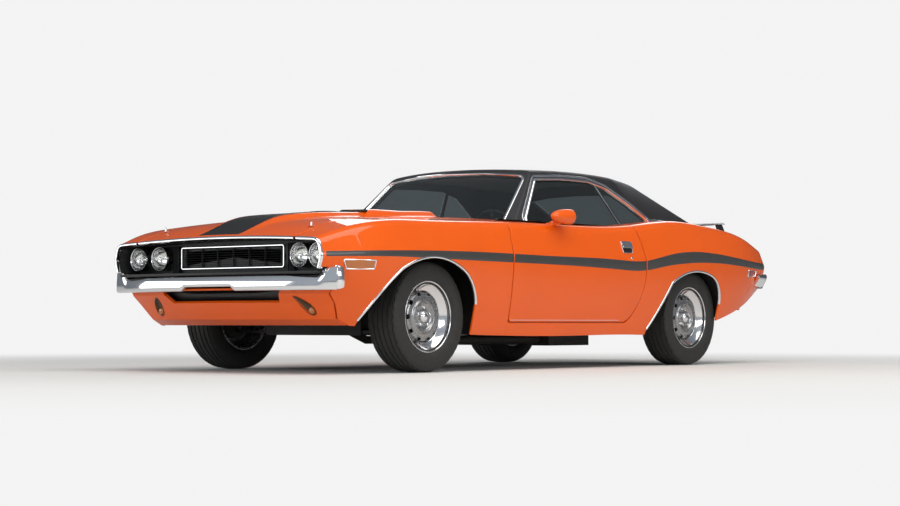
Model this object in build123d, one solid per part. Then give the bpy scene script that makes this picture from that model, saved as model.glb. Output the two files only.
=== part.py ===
"""A two-door hardtop muscle car, stored as it parks, in millimetres.

X points forward, Y to the car's left and Z up. The origin is on the ground, under the middle
of the car. The outer skin is one loft through a short table of body sections; the hood, fenders,
doors, quarters and decklid are cut out of that skin, each with its own gap to the next.
"""
import math
import os

from build123d import *

os.makedirs("parts", exist_ok=True)

# Main sizes
LENGTH = 4859.0
WIDTH = 1933.0
WHEELBASE = 2794.0
FRONT_OVERHANG = 975.0
ROOF_TOP_Z = 1316.0
FRONT_TRACK = 1516.0
REAR_TRACK = 1541.0

# Gaps and walls
PANEL_GAP = 8.0
HALF_GAP = PANEL_GAP / 2
SEAT_GAP = 0.3
SKIN = 12.0
ROOF_WALL = 34.0
GLASS = 6.0

# Places along the car
FRONT_X = LENGTH / 2
REAR_X = -LENGTH / 2
FRONT_AXLE_X = FRONT_X - FRONT_OVERHANG
REAR_AXLE_X = FRONT_AXLE_X - WHEELBASE
HALF_WIDTH = WIDTH / 2
NOSE_X = FRONT_X - 70.0
TAIL_X = REAR_X + 88.0
DOOR_FRONT_X = FRONT_AXLE_X - 700.0
DOOR_REAR_X = DOOR_FRONT_X - 1335.0
DECK_FRONT_X = REAR_AXLE_X - 556.0

# Places across and up
BELT_Z = 925.0
DOOR_BOTTOM_Z = 297.0
DOOR_INNER_Y = 765.0
HOOD_HALF_WIDTH = 645.0
DECK_HALF_WIDTH = 640.0
VALANCE_TOP_Z = 484.0

# Body sections, from nose to tail. Columns: place along the car; then how far in from the widest
# half width, and how high, the sill edge, the side crease and the shoulder are; then the height
# of the crowned top on the centre line.
SECTIONS = [
    (NOSE_X, 370, 300, 112, 662, 178, 765, 788),
    (NOSE_X - 190, 250, 284, 43, 675, 130, 824, 852),
    (FRONT_AXLE_X, 100, 235, 9, 695, 112, 890, 935),
    (DOOR_FRONT_X, 88, 214, 18, 695, 108, 908, 962),
    ((DOOR_FRONT_X + DOOR_REAR_X) / 2, 84, 210, 20, 690, 106, 914, 950),
    (DOOR_REAR_X, 84, 214, 16, 690, 106, 936, 960),
    (REAR_AXLE_X + 200, 72, 222, 4, 745, 112, 985, 990),
    (REAR_AXLE_X - 200, 60, 290, 0, 752, 120, 968, 990),
    (TAIL_X + 250, 102, 436, 46, 735, 140, 897, 946),
    (TAIL_X, 162, 528, 94, 700, 180, 830, 880),
]
SHOULDER_IN = 52.0
SHOULDER_DROP = 46.0
SILL_BULGE_SHARE = 0.17
SHOULDER_BULGE = 12.0

# Cabin above the belt. Columns: how far along, and the half width, of the windscreen corner, the
# middle of the side, the rear side corner and the rear window corner, then the middle of the
# windscreen and the middle of the rear window.
CABIN_LOW = dict(z=945.0, corner=(430, 715), side=(-300, 795), hip=(-960, 775), tail=(-1900, 622),
                 screen_x=625, back_x=-1935)
CABIN_HIGH = dict(z=1250.0, corner=(125, 592), side=(-330, 622), hip=(-800, 606), tail=(-1130, 505),
                  screen_x=250, back_x=-1165)
ROOF_PEAK_X = -380.0
ROOF_LONG_RADIUS = 7600.0
ROOF_CROSS_RADIUS = 6000.0

# Wheels and tyres
TYRE_RADIUS = 326.0
TYRE_WIDTH = 225.0
RIM_RADIUS = 192.0
RIM_WIDTH = 190.0
KINGPIN_Y = 700.0
SPINDLE_RADIUS = 18.0
RUNNING_GAP = 0.05


def mirrored(solid):
    """The same piece on the car's right side."""
    return solid.mirror(Plane.XZ)


def box(x0, x1, y0, y1, z0, z1):
    """A block given by its limits."""
    block = Box(abs(x1 - x0), abs(y1 - y0), abs(z1 - z0))
    return block.moved(Location(((x0 + x1) / 2, (y0 + y1) / 2, (z0 + z1) / 2)))


def along_x(points, x0, x1):
    """A prism along X whose outline is given as (Y, Z) points."""
    face = Face(Wire.make_polygon([Vector(x0, y, z) for y, z in points], close=True))
    return Solid.extrude(face, Vector(x1 - x0, 0, 0))


def along_y(points, y0, y1):
    """A prism along Y whose outline is given as (X, Z) points."""
    face = Face(Wire.make_polygon([Vector(x, y0, z) for x, z in points], close=True))
    return Solid.extrude(face, Vector(0, y1 - y0, 0))


def along_z(points, z0, z1):
    """A prism along Z whose outline is given as (X, Y) points."""
    face = Face(Wire.make_polygon([Vector(x, y, z0) for x, y in points], close=True))
    return Solid.extrude(face, Vector(0, 0, z1 - z0))


def rod(start, end, radius):
    """A round bar between two points."""
    a, b = Vector(*start), Vector(*end)
    plane = Plane(origin=a, z_dir=b - a)
    return Solid.make_cylinder(radius, (b - a).length, plane)


def turned(points, centre, direction):
    """A solid of revolution about Y. Its outline is given as (radius, place along Y) points."""
    x, y, z = centre
    face = Face(Wire.make_polygon([Vector(x + r, y + direction * t, z) for r, t in points], close=True))
    return Solid.revolve(face, 360, Axis((x, y, z), (0, 1, 0)))


def bulged(a, b, height):
    """An arc from a to b whose middle stands out by height to the right of the way from a to b."""
    middle = (a + b) / 2
    along = (b - a).normalized()
    side = Vector(0, along.Z, -along.Y)
    return Edge.make_three_point_arc(a, middle + side * height, b)


def section_wire(row, inset, drop):
    """One closed body section, moved in by inset, with its floor lower by drop."""
    x, sill_in, sill_z, crease_in, crease_z, shoulder_in, shoulder_z, crown_z = row
    floor_z = sill_z - drop
    sill = Vector(x, HALF_WIDTH - sill_in - inset, floor_z)
    crease = Vector(x, HALF_WIDTH - crease_in - inset, crease_z)
    upper_y = HALF_WIDTH - shoulder_in + SHOULDER_IN - inset
    upper = Vector(x, upper_y, shoulder_z - SHOULDER_DROP - 0.4 * inset)
    peak = Vector(x, HALF_WIDTH - shoulder_in - 0.6 * inset, shoulder_z - inset)
    left = [sill, crease, upper, peak]
    right = [Vector(p.X, -p.Y, p.Z) for p in left]
    edges = [Edge.make_line(right[0], left[0])]
    sill_bulge = SILL_BULGE_SHARE * (sill_in - crease_in)
    edges.append(bulged(left[0], left[1], sill_bulge))
    edges.append(Edge.make_line(left[1], left[2]))
    edges.append(bulged(left[2], left[3], SHOULDER_BULGE))
    crown = Vector(x, 0, crown_z - inset)
    edges.append(Edge.make_three_point_arc(left[3], crown, right[3]))
    edges.append(bulged(right[3], right[2], SHOULDER_BULGE))
    edges.append(Edge.make_line(right[2], right[1]))
    edges.append(bulged(right[1], right[0], sill_bulge))
    return Wire(edges)


def beyond(before, last, reach):
    """The section that the way from before to last leads to, further on by reach."""
    share = reach / abs(last[0] - before[0])
    return tuple(b + (b - a) * share for a, b in zip(before, last))


def body(inset=0.0, drop=0.0, stretch=0.0):
    """The closed body form below the belt, moved in by inset and longer by stretch at each end."""
    rows = list(SECTIONS)
    if stretch:
        ahead, behind = beyond(rows[1], rows[0], stretch), beyond(rows[-2], rows[-1], stretch)
        rows = [ahead] + rows + [behind]
    return Solid.make_loft([section_wire(row, inset, drop) for row in rows])


def cabin(inset=0.0):
    """The closed form of the cabin above the belt, moved in by inset."""
    wires = []
    low, high = CABIN_LOW, CABIN_HIGH

    def at(name, item, z):
        share = (z - low["z"]) / (high["z"] - low["z"])
        a, b = low[name], high[name]
        if item is None:
            return a + share * (b - a)
        return a[item] + share * (b[item] - a[item])

    for z in (low["z"] - 120, high["z"] + 110):
        corner = Vector(at("corner", 0, z) - inset * 0.8, at("corner", 1, z) - inset, z)
        side = Vector(at("side", 0, z), at("side", 1, z) - inset, z)
        hip = Vector(at("hip", 0, z), at("hip", 1, z) - inset, z)
        tail = Vector(at("tail", 0, z) + inset * 2, at("tail", 1, z) - inset, z)
        screen = Vector(at("screen_x", None, z) - inset * 1.4, 0, z)
        back = Vector(at("back_x", None, z) + inset * 2.6, 0, z)
        flip = [Vector(p.X, -p.Y, p.Z) for p in (corner, side, hip, tail)]
        wires.append(Wire([
            Edge.make_three_point_arc(flip[0], screen, corner),
            Edge.make_three_point_arc(corner, side, hip),
            Edge.make_line(hip, tail),
            Edge.make_three_point_arc(tail, back, flip[3]),
            Edge.make_line(flip[3], flip[2]),
            Edge.make_three_point_arc(flip[2], flip[1], flip[0]),
        ]))
    walls = Solid.make_loft(wires, ruled=True)
    return walls & roof_dome(inset)


def roof_dome(inset):
    """A barrel whose top is the crowned roof, moved down by inset."""
    top = ROOF_TOP_Z - inset
    reach = 2200.0
    drop = ROOF_LONG_RADIUS - math.sqrt(ROOF_LONG_RADIUS ** 2 - reach ** 2)
    axis_z = top - ROOF_CROSS_RADIUS
    left = Vector(ROOF_PEAK_X - reach, 0, top - drop)
    right = Vector(ROOF_PEAK_X + reach, 0, top - drop)
    peak = Vector(ROOF_PEAK_X, 0, top)
    face = Face(Wire([
        Edge.make_three_point_arc(left, peak, right),
        Edge.make_line(right, Vector(right.X, 0, axis_z)),
        Edge.make_line(Vector(right.X, 0, axis_z), Vector(left.X, 0, axis_z)),
        Edge.make_line(Vector(left.X, 0, axis_z), left),
    ]))
    half_turn = 18.0
    wedge = Solid.revolve(face, 2 * half_turn, Axis((0, 0, axis_z), (1, 0, 0)))
    return wedge.rotate(Axis((0, 0, axis_z), (1, 0, 0)), -half_turn)


def door_prism(grow, y0, y1):
    """A prism along Y with the outline of a door, grown by a gap."""
    front, rear = DOOR_FRONT_X - HALF_GAP + grow, DOOR_REAR_X - grow
    bottom, top = DOOR_BOTTOM_Z - grow, BELT_Z + 130
    belt = Vector(rear, y0, BELT_Z + 25)
    hip = Vector(rear - 105, y0, 650.0)
    heel = Vector(rear + 62, y0, bottom)
    edges = [
        Edge.make_line(Vector(front, y0, top), Vector(front, y0, bottom)),
        Edge.make_line(Vector(front, y0, bottom), heel),
        Edge.make_three_point_arc(heel, Vector(rear - 62, y0, 455.0), hip),
        Edge.make_three_point_arc(hip, Vector(rear - 82, y0, 790.0), belt),
        Edge.make_line(belt, Vector(rear, y0, top)),
        Edge.make_line(Vector(rear, y0, top), Vector(front, y0, top)),
    ]
    return Solid.extrude(Face(Wire(edges)), Vector(0, y1 - y0, 0))


# Wheel openings, as (ahead of the axle, height) corners joined by arcs through the middle ones
FRONT_ARCH = [(575, 150), (565, 300), (480, 465), (350, 595), (60, 667), (-200, 608), (-310, 520),
              (-362, 400), (-362, 150)]
REAR_ARCH = [(610, 150), (572, 245), (442, 405), (330, 556), (60, 638), (-170, 602), (-252, 530),
             (-282, 420), (-262, 150)]


def arch_prism(points, axle_x, y0, y1):
    """A prism along Y with the outline of a wheel opening."""
    place = [Vector(axle_x + x, y0, z) for x, z in points]
    edges = [Edge.make_line(place[0], place[1])]
    for i in range(1, 7, 2):
        edges.append(Edge.make_three_point_arc(place[i], place[i + 1], place[i + 2]))
    edges.append(Edge.make_line(place[7], place[8]))
    edges.append(Edge.make_line(place[8], place[0]))
    return Solid.extrude(Face(Wire(edges)), Vector(0, y1 - y0, 0))


def arc_wall(face_x, radius, depth, y_half, z0, z1):
    """An upright wall curved in plan, whose face looks ahead, or behind where face_x is negative."""
    sign = 1 if face_x > 0 else -1
    drop = radius - math.sqrt(radius ** 2 - y_half ** 2)
    inner = radius - depth
    inner_drop = inner - math.sqrt(inner ** 2 - y_half ** 2)
    a = Vector(face_x - sign * drop, -y_half, z0)
    b = Vector(face_x - sign * drop, y_half, z0)
    c = Vector(face_x - sign * (depth + inner_drop), y_half, z0)
    d = Vector(face_x - sign * (depth + inner_drop), -y_half, z0)
    edges = [
        Edge.make_three_point_arc(a, Vector(face_x, 0, z0), b),
        Edge.make_line(b, c),
        Edge.make_three_point_arc(c, Vector(face_x - sign * depth, 0, z0), d),
        Edge.make_line(d, a),
    ]
    return Solid.extrude(Face(Wire(edges)), Vector(0, 0, z1 - z0))


def save(name, *pieces):
    """Write one node: a single solid, or several that don't touch."""
    solids = [s for piece in pieces for s in piece.solids()]
    shape = solids[0] if len(solids) == 1 else Compound(children=solids)
    export_step(shape, f"parts/{name}.step")


REACH = 50.0
BODY_LENGTH = box(TAIL_X, NOSE_X, -1100, 1100, 0, 1300)
OUTER = body(0, 0, REACH) & BODY_LENGTH
INNER = body(SKIN, 2 * SKIN, REACH)
MIDDLE = body(SKIN / 2, -SKIN / 3, REACH) & BODY_LENGTH
SKIN_SHELL = OUTER - INNER
BODY_SEAT = body(-SEAT_GAP, 0, REACH) & box(TAIL_X - SEAT_GAP, NOSE_X + SEAT_GAP, -1100, 1100, 0, 1300)
INNER_SEAT = body(SKIN + SEAT_GAP, 2 * SKIN, REACH)
INNER_CLEAR = body(SKIN + PANEL_GAP, 2 * SKIN, REACH)
CABIN = cabin()
CABIN_ROOM = cabin(ROOF_WALL)
CABIN_PANE = cabin(GLASS)


# The raked front below the bumper, from the top down: place along the car, height
LOW_FRONT = [(NOSE_X + 4, VALANCE_TOP_Z), (NOSE_X - 16, 450), (NOSE_X - 68, 400), (NOSE_X - 140, 310),
             (NOSE_X - 230, 268)]
LOW_FRONT_RADIUS = 3600.0
LOW_FRONT_BACK_X = FRONT_AXLE_X + 430.0
FENDER_TUCK_Y, FENDER_TUCK_Z = 300.0, 600.0


def low_front(back, reach):
    """The form behind the raked lower front, moved back by back, and longer by reach above and below."""
    half = 1000.0
    drop = LOW_FRONT_RADIUS - math.sqrt(LOW_FRONT_RADIUS ** 2 - half ** 2)
    (x_top, z_top), (x_low, z_low) = LOW_FRONT[0], LOW_FRONT[-1]
    levels = [(x_top, z_top + reach)] + LOW_FRONT[1:-1] + [(x_low, z_low), (x_low, z_low - reach)]
    wires = []
    for x, z in levels:
        a, b = Vector(x - back - drop, -half, z), Vector(x - back - drop, half, z)
        c, d = Vector(LOW_FRONT_BACK_X - 200, half, z), Vector(LOW_FRONT_BACK_X - 200, -half, z)
        wires.append(Wire([Edge.make_three_point_arc(a, Vector(x - back, 0, z), b), Edge.make_line(b, c),
                           Edge.make_line(c, d), Edge.make_line(d, a)]))
    return Solid.make_loft(wires, ruled=True)


def fender():
    """The left front fender, with its wheel opening."""
    beside_hood = box(DOOR_FRONT_X + HALF_GAP, NOSE_X + 10, HOOD_HALF_WIDTH + HALF_GAP, 1100, 0, 1200)
    tucked = box(FRONT_AXLE_X, NOSE_X + 10, FENDER_TUCK_Y, 1100, 0, FENDER_TUCK_Z)
    skin = SKIN_SHELL & (beside_hood + tucked)
    ahead = box(LOW_FRONT_BACK_X, NOSE_X + 20, 0, 1100, 0, VALANCE_TOP_Z) - low_front(0, 60)
    return skin - arch_prism(FRONT_ARCH, FRONT_AXLE_X, 500, 1100) - ahead


WHEELHOUSE_RADIUS = 378.0
WHEELHOUSE_INNER_Y = 602.0
WHEELHOUSE_WALL = 8.0
SILL_INNER_Y = 728.0


def wheelhouse():
    """The inner wheel arch over the left rear tyre: half a drum, closed on its inner side."""
    axis = Plane(origin=(REAR_AXLE_X, WHEELHOUSE_INNER_Y, TYRE_RADIUS), z_dir=(0, 1, 0))
    drum = Solid.make_cylinder(WHEELHOUSE_RADIUS, 400, axis)
    room_axis = Plane(origin=(REAR_AXLE_X, WHEELHOUSE_INNER_Y + WHEELHOUSE_WALL, TYRE_RADIUS), z_dir=(0, 1, 0))
    room = Solid.make_cylinder(WHEELHOUSE_RADIUS - WHEELHOUSE_WALL, 400, room_axis)
    shell = (drum - room) & box(REAR_X, 0, 0, 1100, TYRE_RADIUS, 1000)
    axle_way = box(REAR_AXLE_X - 60, REAR_AXLE_X + 60, 500, 700, 0, TYRE_RADIUS + 110)
    return (shell - axle_way) & MIDDLE


def quarter():
    """The left quarter panel, with the sill under the door, the wall beside the rear seat and the
    inner wheel arch."""
    front = DOOR_FRONT_X + HALF_GAP - SEAT_GAP
    skin = SKIN_SHELL & box(TAIL_X - 10, front, DECK_HALF_WIDTH + HALF_GAP, 1100, 0, 1200)
    sill = MIDDLE & box(DOOR_REAR_X - 150, front, SILL_INNER_Y, 1100, 0, DOOR_BOTTOM_Z)
    wall = MIDDLE & box(REAR_AXLE_X + WHEELHOUSE_RADIUS - 6, DOOR_REAR_X + 100, DOOR_INNER_Y, 1100,
                       DOOR_BOTTOM_Z - 60, 1200)
    panel = skin + sill + wall
    panel = panel - door_prism(PANEL_GAP, 500, 1100)
    above_sill = box(DOOR_REAR_X - 20, front + 10, 500, 1100, BELT_Z - 60, 1200)
    panel = panel - above_sill
    panel = panel - CABIN_ROOM - arch_prism(REAR_ARCH, REAR_AXLE_X, 500, 1100)
    return panel + wheelhouse()


def side_window_prism(grow, x0, x1):
    """The opening for the side glass between two places along the car, shrunk or grown."""
    points = [(350, 850), (345, 945), (98, 1208), (-150, 1222), (-450, 1222), (-630, 1186),
              (-810, 1096), (-1000, 990), (-1040, 850)]
    outline = along_y(points, 450, 900)
    if grow:
        face = Face(Wire.make_polygon([Vector(x, 450, z) for x, z in points], close=True))
        ring = face.outer_wire().offset_2d(grow)
        outline = Solid.extrude(Face(ring), Vector(0, 450, 0))
    return outline & box(x0, x1, 400, 950, 800, 1400)


SCREEN = [(-668, 850), (668, 850), (562, 1232), (290, 1254), (0, 1260), (-290, 1254), (-562, 1232)]
BACKLIGHT = [(-535, 850), (535, 850), (452, 1196), (240, 1214), (0, 1220), (-240, 1214), (-452, 1196)]
GLASS_SPLIT_X = DOOR_REAR_X + 24.0


def window_prism(points, x0, x1, shrink=0.0):
    """A window outline seen from the front, as a prism along X."""
    face = Face(Wire.make_polygon([Vector(x0, y, z) for y, z in points], close=True))
    if shrink:
        face = Face(face.outer_wire().offset_2d(-shrink))
    return Solid.extrude(face, Vector(x1 - x0, 0, 0))


def roof():
    """The roof with its pillars, open at every window."""
    shell = CABIN - CABIN_ROOM - BODY_SEAT
    shell = shell - window_prism(SCREEN, 0, 900) - window_prism(BACKLIGHT, -2300, -800)
    side = side_window_prism(0, -1100, 500)
    shell = shell - side - mirrored(side)
    return shell & box(-2300, 900, -900, 900, 900, 1400)


def windshield():
    pane = (CABIN - CABIN_PANE) & window_prism(SCREEN, 0, 900, SEAT_GAP)
    return pane - BODY_SEAT


def rear_window():
    pane = (CABIN - CABIN_PANE) & window_prism(BACKLIGHT, -2300, -800, SEAT_GAP)
    return pane - BODY_SEAT


def door_glass():
    pane = (CABIN - CABIN_PANE) & side_window_prism(-PANEL_GAP, GLASS_SPLIT_X + PANEL_GAP / 2, 500)
    return pane - BODY_SEAT


def quarter_glass():
    pane = (CABIN - CABIN_PANE) & side_window_prism(-SEAT_GAP, -1100, GLASS_SPLIT_X - PANEL_GAP / 2 - 1)
    return pane - BODY_SEAT


DOOR_EDGE_INSET = 20.0
DOOR_SKIN = 26.0
MIRROR_X = DOOR_FRONT_X - 490.0


def mirror_shell():
    """The bullet-shaped left door mirror on its short arm."""
    head_y, head_z = HALF_WIDTH - 12.0, BELT_Z + 32.0
    profile = Wire([
        Edge.make_line(Vector(MIRROR_X - 75, head_y, head_z), Vector(MIRROR_X + 115, head_y, head_z)),
        Edge.make_three_point_arc(Vector(MIRROR_X + 115, head_y, head_z), Vector(MIRROR_X + 60, head_y, head_z + 36),
                                  Vector(MIRROR_X - 75, head_y, head_z + 48)),
        Edge.make_line(Vector(MIRROR_X - 75, head_y, head_z + 48), Vector(MIRROR_X - 75, head_y, head_z)),
    ])
    head = Solid.revolve(Face(profile), 360, Axis((0, head_y, head_z), (1, 0, 0)))
    arm = rod((MIRROR_X, head_y - 4, head_z - 20), (MIRROR_X + 10, HALF_WIDTH - 84, BELT_Z - 40), 15)
    return head + arm


def door():
    """The left door as thick as the whole door, with its mirror and handle."""
    outer_skin = (OUTER - body(DOOR_SKIN, 2 * SKIN, REACH)) & door_prism(0, DOOR_INNER_Y, 1100)
    block = OUTER & along_y([(DOOR_FRONT_X - 10, 1100), (DOOR_FRONT_X - 10, DOOR_BOTTOM_Z + 6),
                             (DOOR_REAR_X + 84, DOOR_BOTTOM_Z + 6), (DOOR_REAR_X - 40, 470),
                             (DOOR_REAR_X - 82, 650), (DOOR_REAR_X - 58, 790),
                             (DOOR_REAR_X + 22, BELT_Z + 20), (DOOR_REAR_X + 22, 1100)],
                            DOOR_INNER_Y, 1100)
    handle = box(DOOR_REAR_X + 28, DOOR_REAR_X + 168, HALF_WIDTH - 60, HALF_WIDTH - 22, 800, 822)
    return outer_skin + block + mirror_shell() + handle


def hood():
    """The hood, with its raised centre and two low air scoops."""
    half_width = HOOD_HALF_WIDTH - HALF_GAP
    panel = SKIN_SHELL & box(DOOR_FRONT_X + HALF_GAP, NOSE_X - 4, -half_width, half_width, 650, 1200)
    rows = [(NOSE_X - 330, 250, 4), (NOSE_X - 700, 330, 26), (DOOR_FRONT_X + HALF_GAP, 360, 34)]
    wires = []
    for x, half, rise in rows:
        base = 700.0
        top = crown_height(x) + rise
        foot = crown_height(x) - 18
        wires.append(Wire.make_polygon([Vector(x, -half, base), Vector(x, half, base), Vector(x, half, foot),
                                        Vector(x, half - 60, top - 3), Vector(x, 0, top),
                                        Vector(x, 60 - half, top - 3), Vector(x, -half, foot)], close=True))
    bulge = Solid.make_loft(wires, ruled=True) - INNER
    scoops = []
    for side in (1, -1):
        x1, z1 = FRONT_AXLE_X - 60, crown_height(FRONT_AXLE_X) + 56
        wedge = along_y([(x1, z1 - 60), (x1, z1), (x1 - 60, z1), (x1 - 420, z1 - 44), (x1 - 420, z1 - 60)],
                        side * 190 - 105, side * 190 + 105)
        scoops.append(wedge - box(x1 - 60, x1 + 10, side * 190 - 92, side * 190 + 92, z1 - 42, z1 - 12))
    return panel + bulge + scoops[0] + scoops[1]


def crown_height(x):
    """The height of the body's centre line at a place along the car."""
    rows = sorted((row[0], row[7]) for row in SECTIONS)
    for (xa, za), (xb, zb) in zip(rows, rows[1:]):
        if xa <= x <= xb:
            return za + (zb - za) * (x - xa) / (xb - xa)
    return rows[0][1]


def decklid():
    panel = SKIN_SHELL & box(TAIL_X + 4, DECK_FRONT_X - HALF_GAP, -DECK_HALF_WIDTH + HALF_GAP,
                             DECK_HALF_WIDTH - HALF_GAP, 800, 1200)
    return panel


WING_FOOT_IN, WING_FOOT_WALL = 34.0, 24.0


def rear_wing():
    """The bar over the decklid on its two feet."""
    x, z, half = TAIL_X + 215, 1006.0, DECK_HALF_WIDTH
    bar = along_y([(x - 90, z + 12), (x - 60, z + 16), (x + 70, z + 2), (x + 80, z - 6), (x - 80, z)], -half, half)
    ends = []
    for side in (1, -1):
        y = side * (half - WING_FOOT_IN)
        foot = along_y([(x - 150, 850), (x - 62, z + 2), (x + 30, z - 2), (x - 20, 850)],
                       y - WING_FOOT_WALL / 2, y + WING_FOOT_WALL / 2)
        ends.append(foot)
    return (bar + ends[0] + ends[1]) - BODY_SEAT


def cowl():
    """The painted strip between the hood and the windscreen."""
    strip = SKIN_SHELL & box(250, DOOR_FRONT_X - HALF_GAP, -DOOR_INNER_Y + PANEL_GAP, DOOR_INNER_Y - PANEL_GAP,
                             800, 1200)
    return strip - CABIN_ROOM


def rear_deck():
    """The painted strip ahead of the decklid, with the shelf behind the rear seat."""
    strip = SKIN_SHELL & box(DECK_FRONT_X + HALF_GAP, REAR_AXLE_X - 150, -DECK_HALF_WIDTH - HALF_GAP + SEAT_GAP,
                             DECK_HALF_WIDTH + HALF_GAP - SEAT_GAP, 800, 1200)
    shelf = box(DECK_FRONT_X + HALF_GAP, REAR_AXLE_X - 150, -590, 590, 905, 917)
    riser = box(DECK_FRONT_X + HALF_GAP, DECK_FRONT_X + HALF_GAP + SKIN, -590, 590, 905, 985) & OUTER
    return strip - CABIN_ROOM + riser + shelf


def cross_wall(x0, x1, z0, lid_half):
    """An upright wall across the body that fits inside the skin and stays clear under a lid."""
    slab = box(x0, x1, -1100, 1100, z0, 1200)
    under_lid = box(REAR_X, FRONT_X, -lid_half, lid_half, 0, 1200)
    return (INNER_CLEAR & slab & under_lid) + ((INNER_SEAT & slab) - under_lid)


STOP_RADIUS = 11.0


def lid_stop(x, y, z0):
    """A rubber stop that a closed lid rests on."""
    return rod((x, y, z0), (x, y, 1100), STOP_RADIUS) & INNER_SEAT


def tail_panel():
    """The upright panel between the quarters, with the lower valance and the lid's two stops."""
    plate = cross_wall(TAIL_X, TAIL_X + 14, 500, DECK_HALF_WIDTH + 8)
    valance = arc_wall(TAIL_X + 6, 3600.0, 12.0, 700.0, 380, 520)
    shelf = INNER_CLEAR & box(TAIL_X + 4, TAIL_X + 44, -DECK_HALF_WIDTH, DECK_HALF_WIDTH, 800, 812)
    stops = [lid_stop(TAIL_X + 28, side * 430, 806) for side in (1, -1)]
    return plate + valance + shelf + stops[0] + stops[1]


GRILLE_BACK_X = NOSE_X - 170.0
GRILLE_BOTTOM_Z = 562.0
LAMP_RADIUS = 66.0
LAMP_RIM = 6.0
# Headlamps: place across, height, how far each stands out of the grille's back
LAMP_PLACES = [(575, 672, 62), (737, 670, 82)]


def nose_outline(inset, x0, x1):
    """The front opening between the fenders, under the hood's edge, as a prism along X."""
    row = (x0,) + SECTIONS[0][1:]
    prism = Solid.extrude(Face(section_wire(row, inset, 2 * SKIN)), Vector(x1 - x0, 0, 0))
    return prism


def grille():
    """The open tray of the front: a bright frame, black walls and back, and thin bars."""
    front_x = NOSE_X + 12
    band = box(GRILLE_BACK_X, front_x, -1000, 1000, GRILLE_BOTTOM_Z, 1200)
    outer = nose_outline(SKIN + PANEL_GAP, GRILLE_BACK_X, front_x) & band
    room = nose_outline(SKIN + PANEL_GAP + 12, GRILLE_BACK_X + 8, front_x + 10)
    room = room & box(GRILLE_BACK_X + 8, front_x + 10, -1000, 1000, GRILLE_BOTTOM_Z + 12, 1200)
    tray = outer - room
    for y, z, _ in LAMP_PLACES:
        for side in (1, -1):
            tray = tray - rod((GRILLE_BACK_X + 8, side * y, z), (front_x + 10, side * y, z),
                              LAMP_RADIUS + LAMP_RIM + 3)
    x0 = GRILLE_BACK_X + 8
    ring = box(x0, x0 + 26, -425, 425, 598, 738) - box(x0 - 1, x0 + 30, -413, 413, 608, 728)
    bars = [box(x0, x0 + 14, -413, 413, z, z + 4) for z in (630, 652, 674, 696)]
    for bar in bars:
        ring = ring + bar
    return tray + ring


def headlamps():
    """Four round headlamps that stand on the grille's back."""
    x0 = GRILLE_BACK_X + 8 + SEAT_GAP
    lamps = []
    for y, z, depth in LAMP_PLACES:
        outline = [(0, LAMP_RIM), (depth, LAMP_RIM), (depth, 0), (depth + 9, -26), (depth + 13, -LAMP_RADIUS)]
        points = [Vector(x0 + t, y, z + LAMP_RADIUS + r) for t, r in outline] + [Vector(x0, y, z)]
        lamp = Solid.revolve(Face(Wire.make_polygon(points, close=True)), 360, Axis((x0, y, z), (1, 0, 0)))
        lamps += [lamp, mirrored(lamp)]
    return lamps


VALANCE_WALL = 16.0


def front_valance():
    """The painted panel under the front bumper, with its air opening."""
    band = box(LOW_FRONT_BACK_X, NOSE_X + 20, -1000, 1000, 0, VALANCE_TOP_Z)
    wall = (low_front(0, 60) - low_front(VALANCE_WALL, 80)) & band & INNER_SEAT
    wall = wall - box(0, LOW_FRONT[-1][0] - 30, -1000, 1000, 0, 1000)
    opening = along_x([(-485, VALANCE_TOP_Z - 8), (485, VALANCE_TOP_Z - 8), (434, 404), (-434, 404)],
                      NOSE_X - 300, NOSE_X + 50)
    flange = box(GRILLE_BACK_X, NOSE_X + 10, -430, 430, VALANCE_TOP_Z - 6, VALANCE_TOP_Z) & low_front(2, 60)
    return wall - opening + flange


PLATE_HOLE_RADIUS, PLATE_HOLE_SPACING = 3.5, 178.0
FRONT_PLATE_Z, REAR_PLATE_Z = 525.0, 600.0


def plate_holes(x0, x1, z):
    """The two holes that hold a licence plate, as rods along X."""
    half = PLATE_HOLE_SPACING / 2
    return rod((x0, half, z), (x1, half, z), PLATE_HOLE_RADIUS) + rod((x0, -half, z), (x1, -half, z),
                                                                      PLATE_HOLE_RADIUS)


def front_bumper():
    """The bright front bumper, with upturned ends, a notch for the plate and its two brackets."""
    bar = arc_wall(FRONT_X, 3300.0, 40.0, 905.0, 468, 558)
    bar = bar - along_x([(-225, 460), (-185, 492), (185, 492), (225, 460)], FRONT_X - 200, FRONT_X + 10)
    for side in (1, -1):
        horn = arc_wall(FRONT_X, 3300.0, 40.0, 905.0, 468, 612)
        horn = horn & box(0, 3000, *sorted((side * 830, side * 906)), 400, 700)
        wrap = along_z([(NOSE_X - 90, side * 850), (NOSE_X - 52, side * 890), (NOSE_X - 58, side * 908),
                        (NOSE_X - 92, side * 914), (NOSE_X - 112, side * 896)], 480, 600)
        bar = bar + horn + wrap
    bar = bar - BODY_SEAT
    for side in (1, -1):
        bar = bar + box(GRILLE_BACK_X, FRONT_X - 60, *sorted((side * 340, side * 400)), 495, 535)
    return bar - plate_holes(FRONT_X - 60, FRONT_X + 10, FRONT_PLATE_Z)


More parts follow.
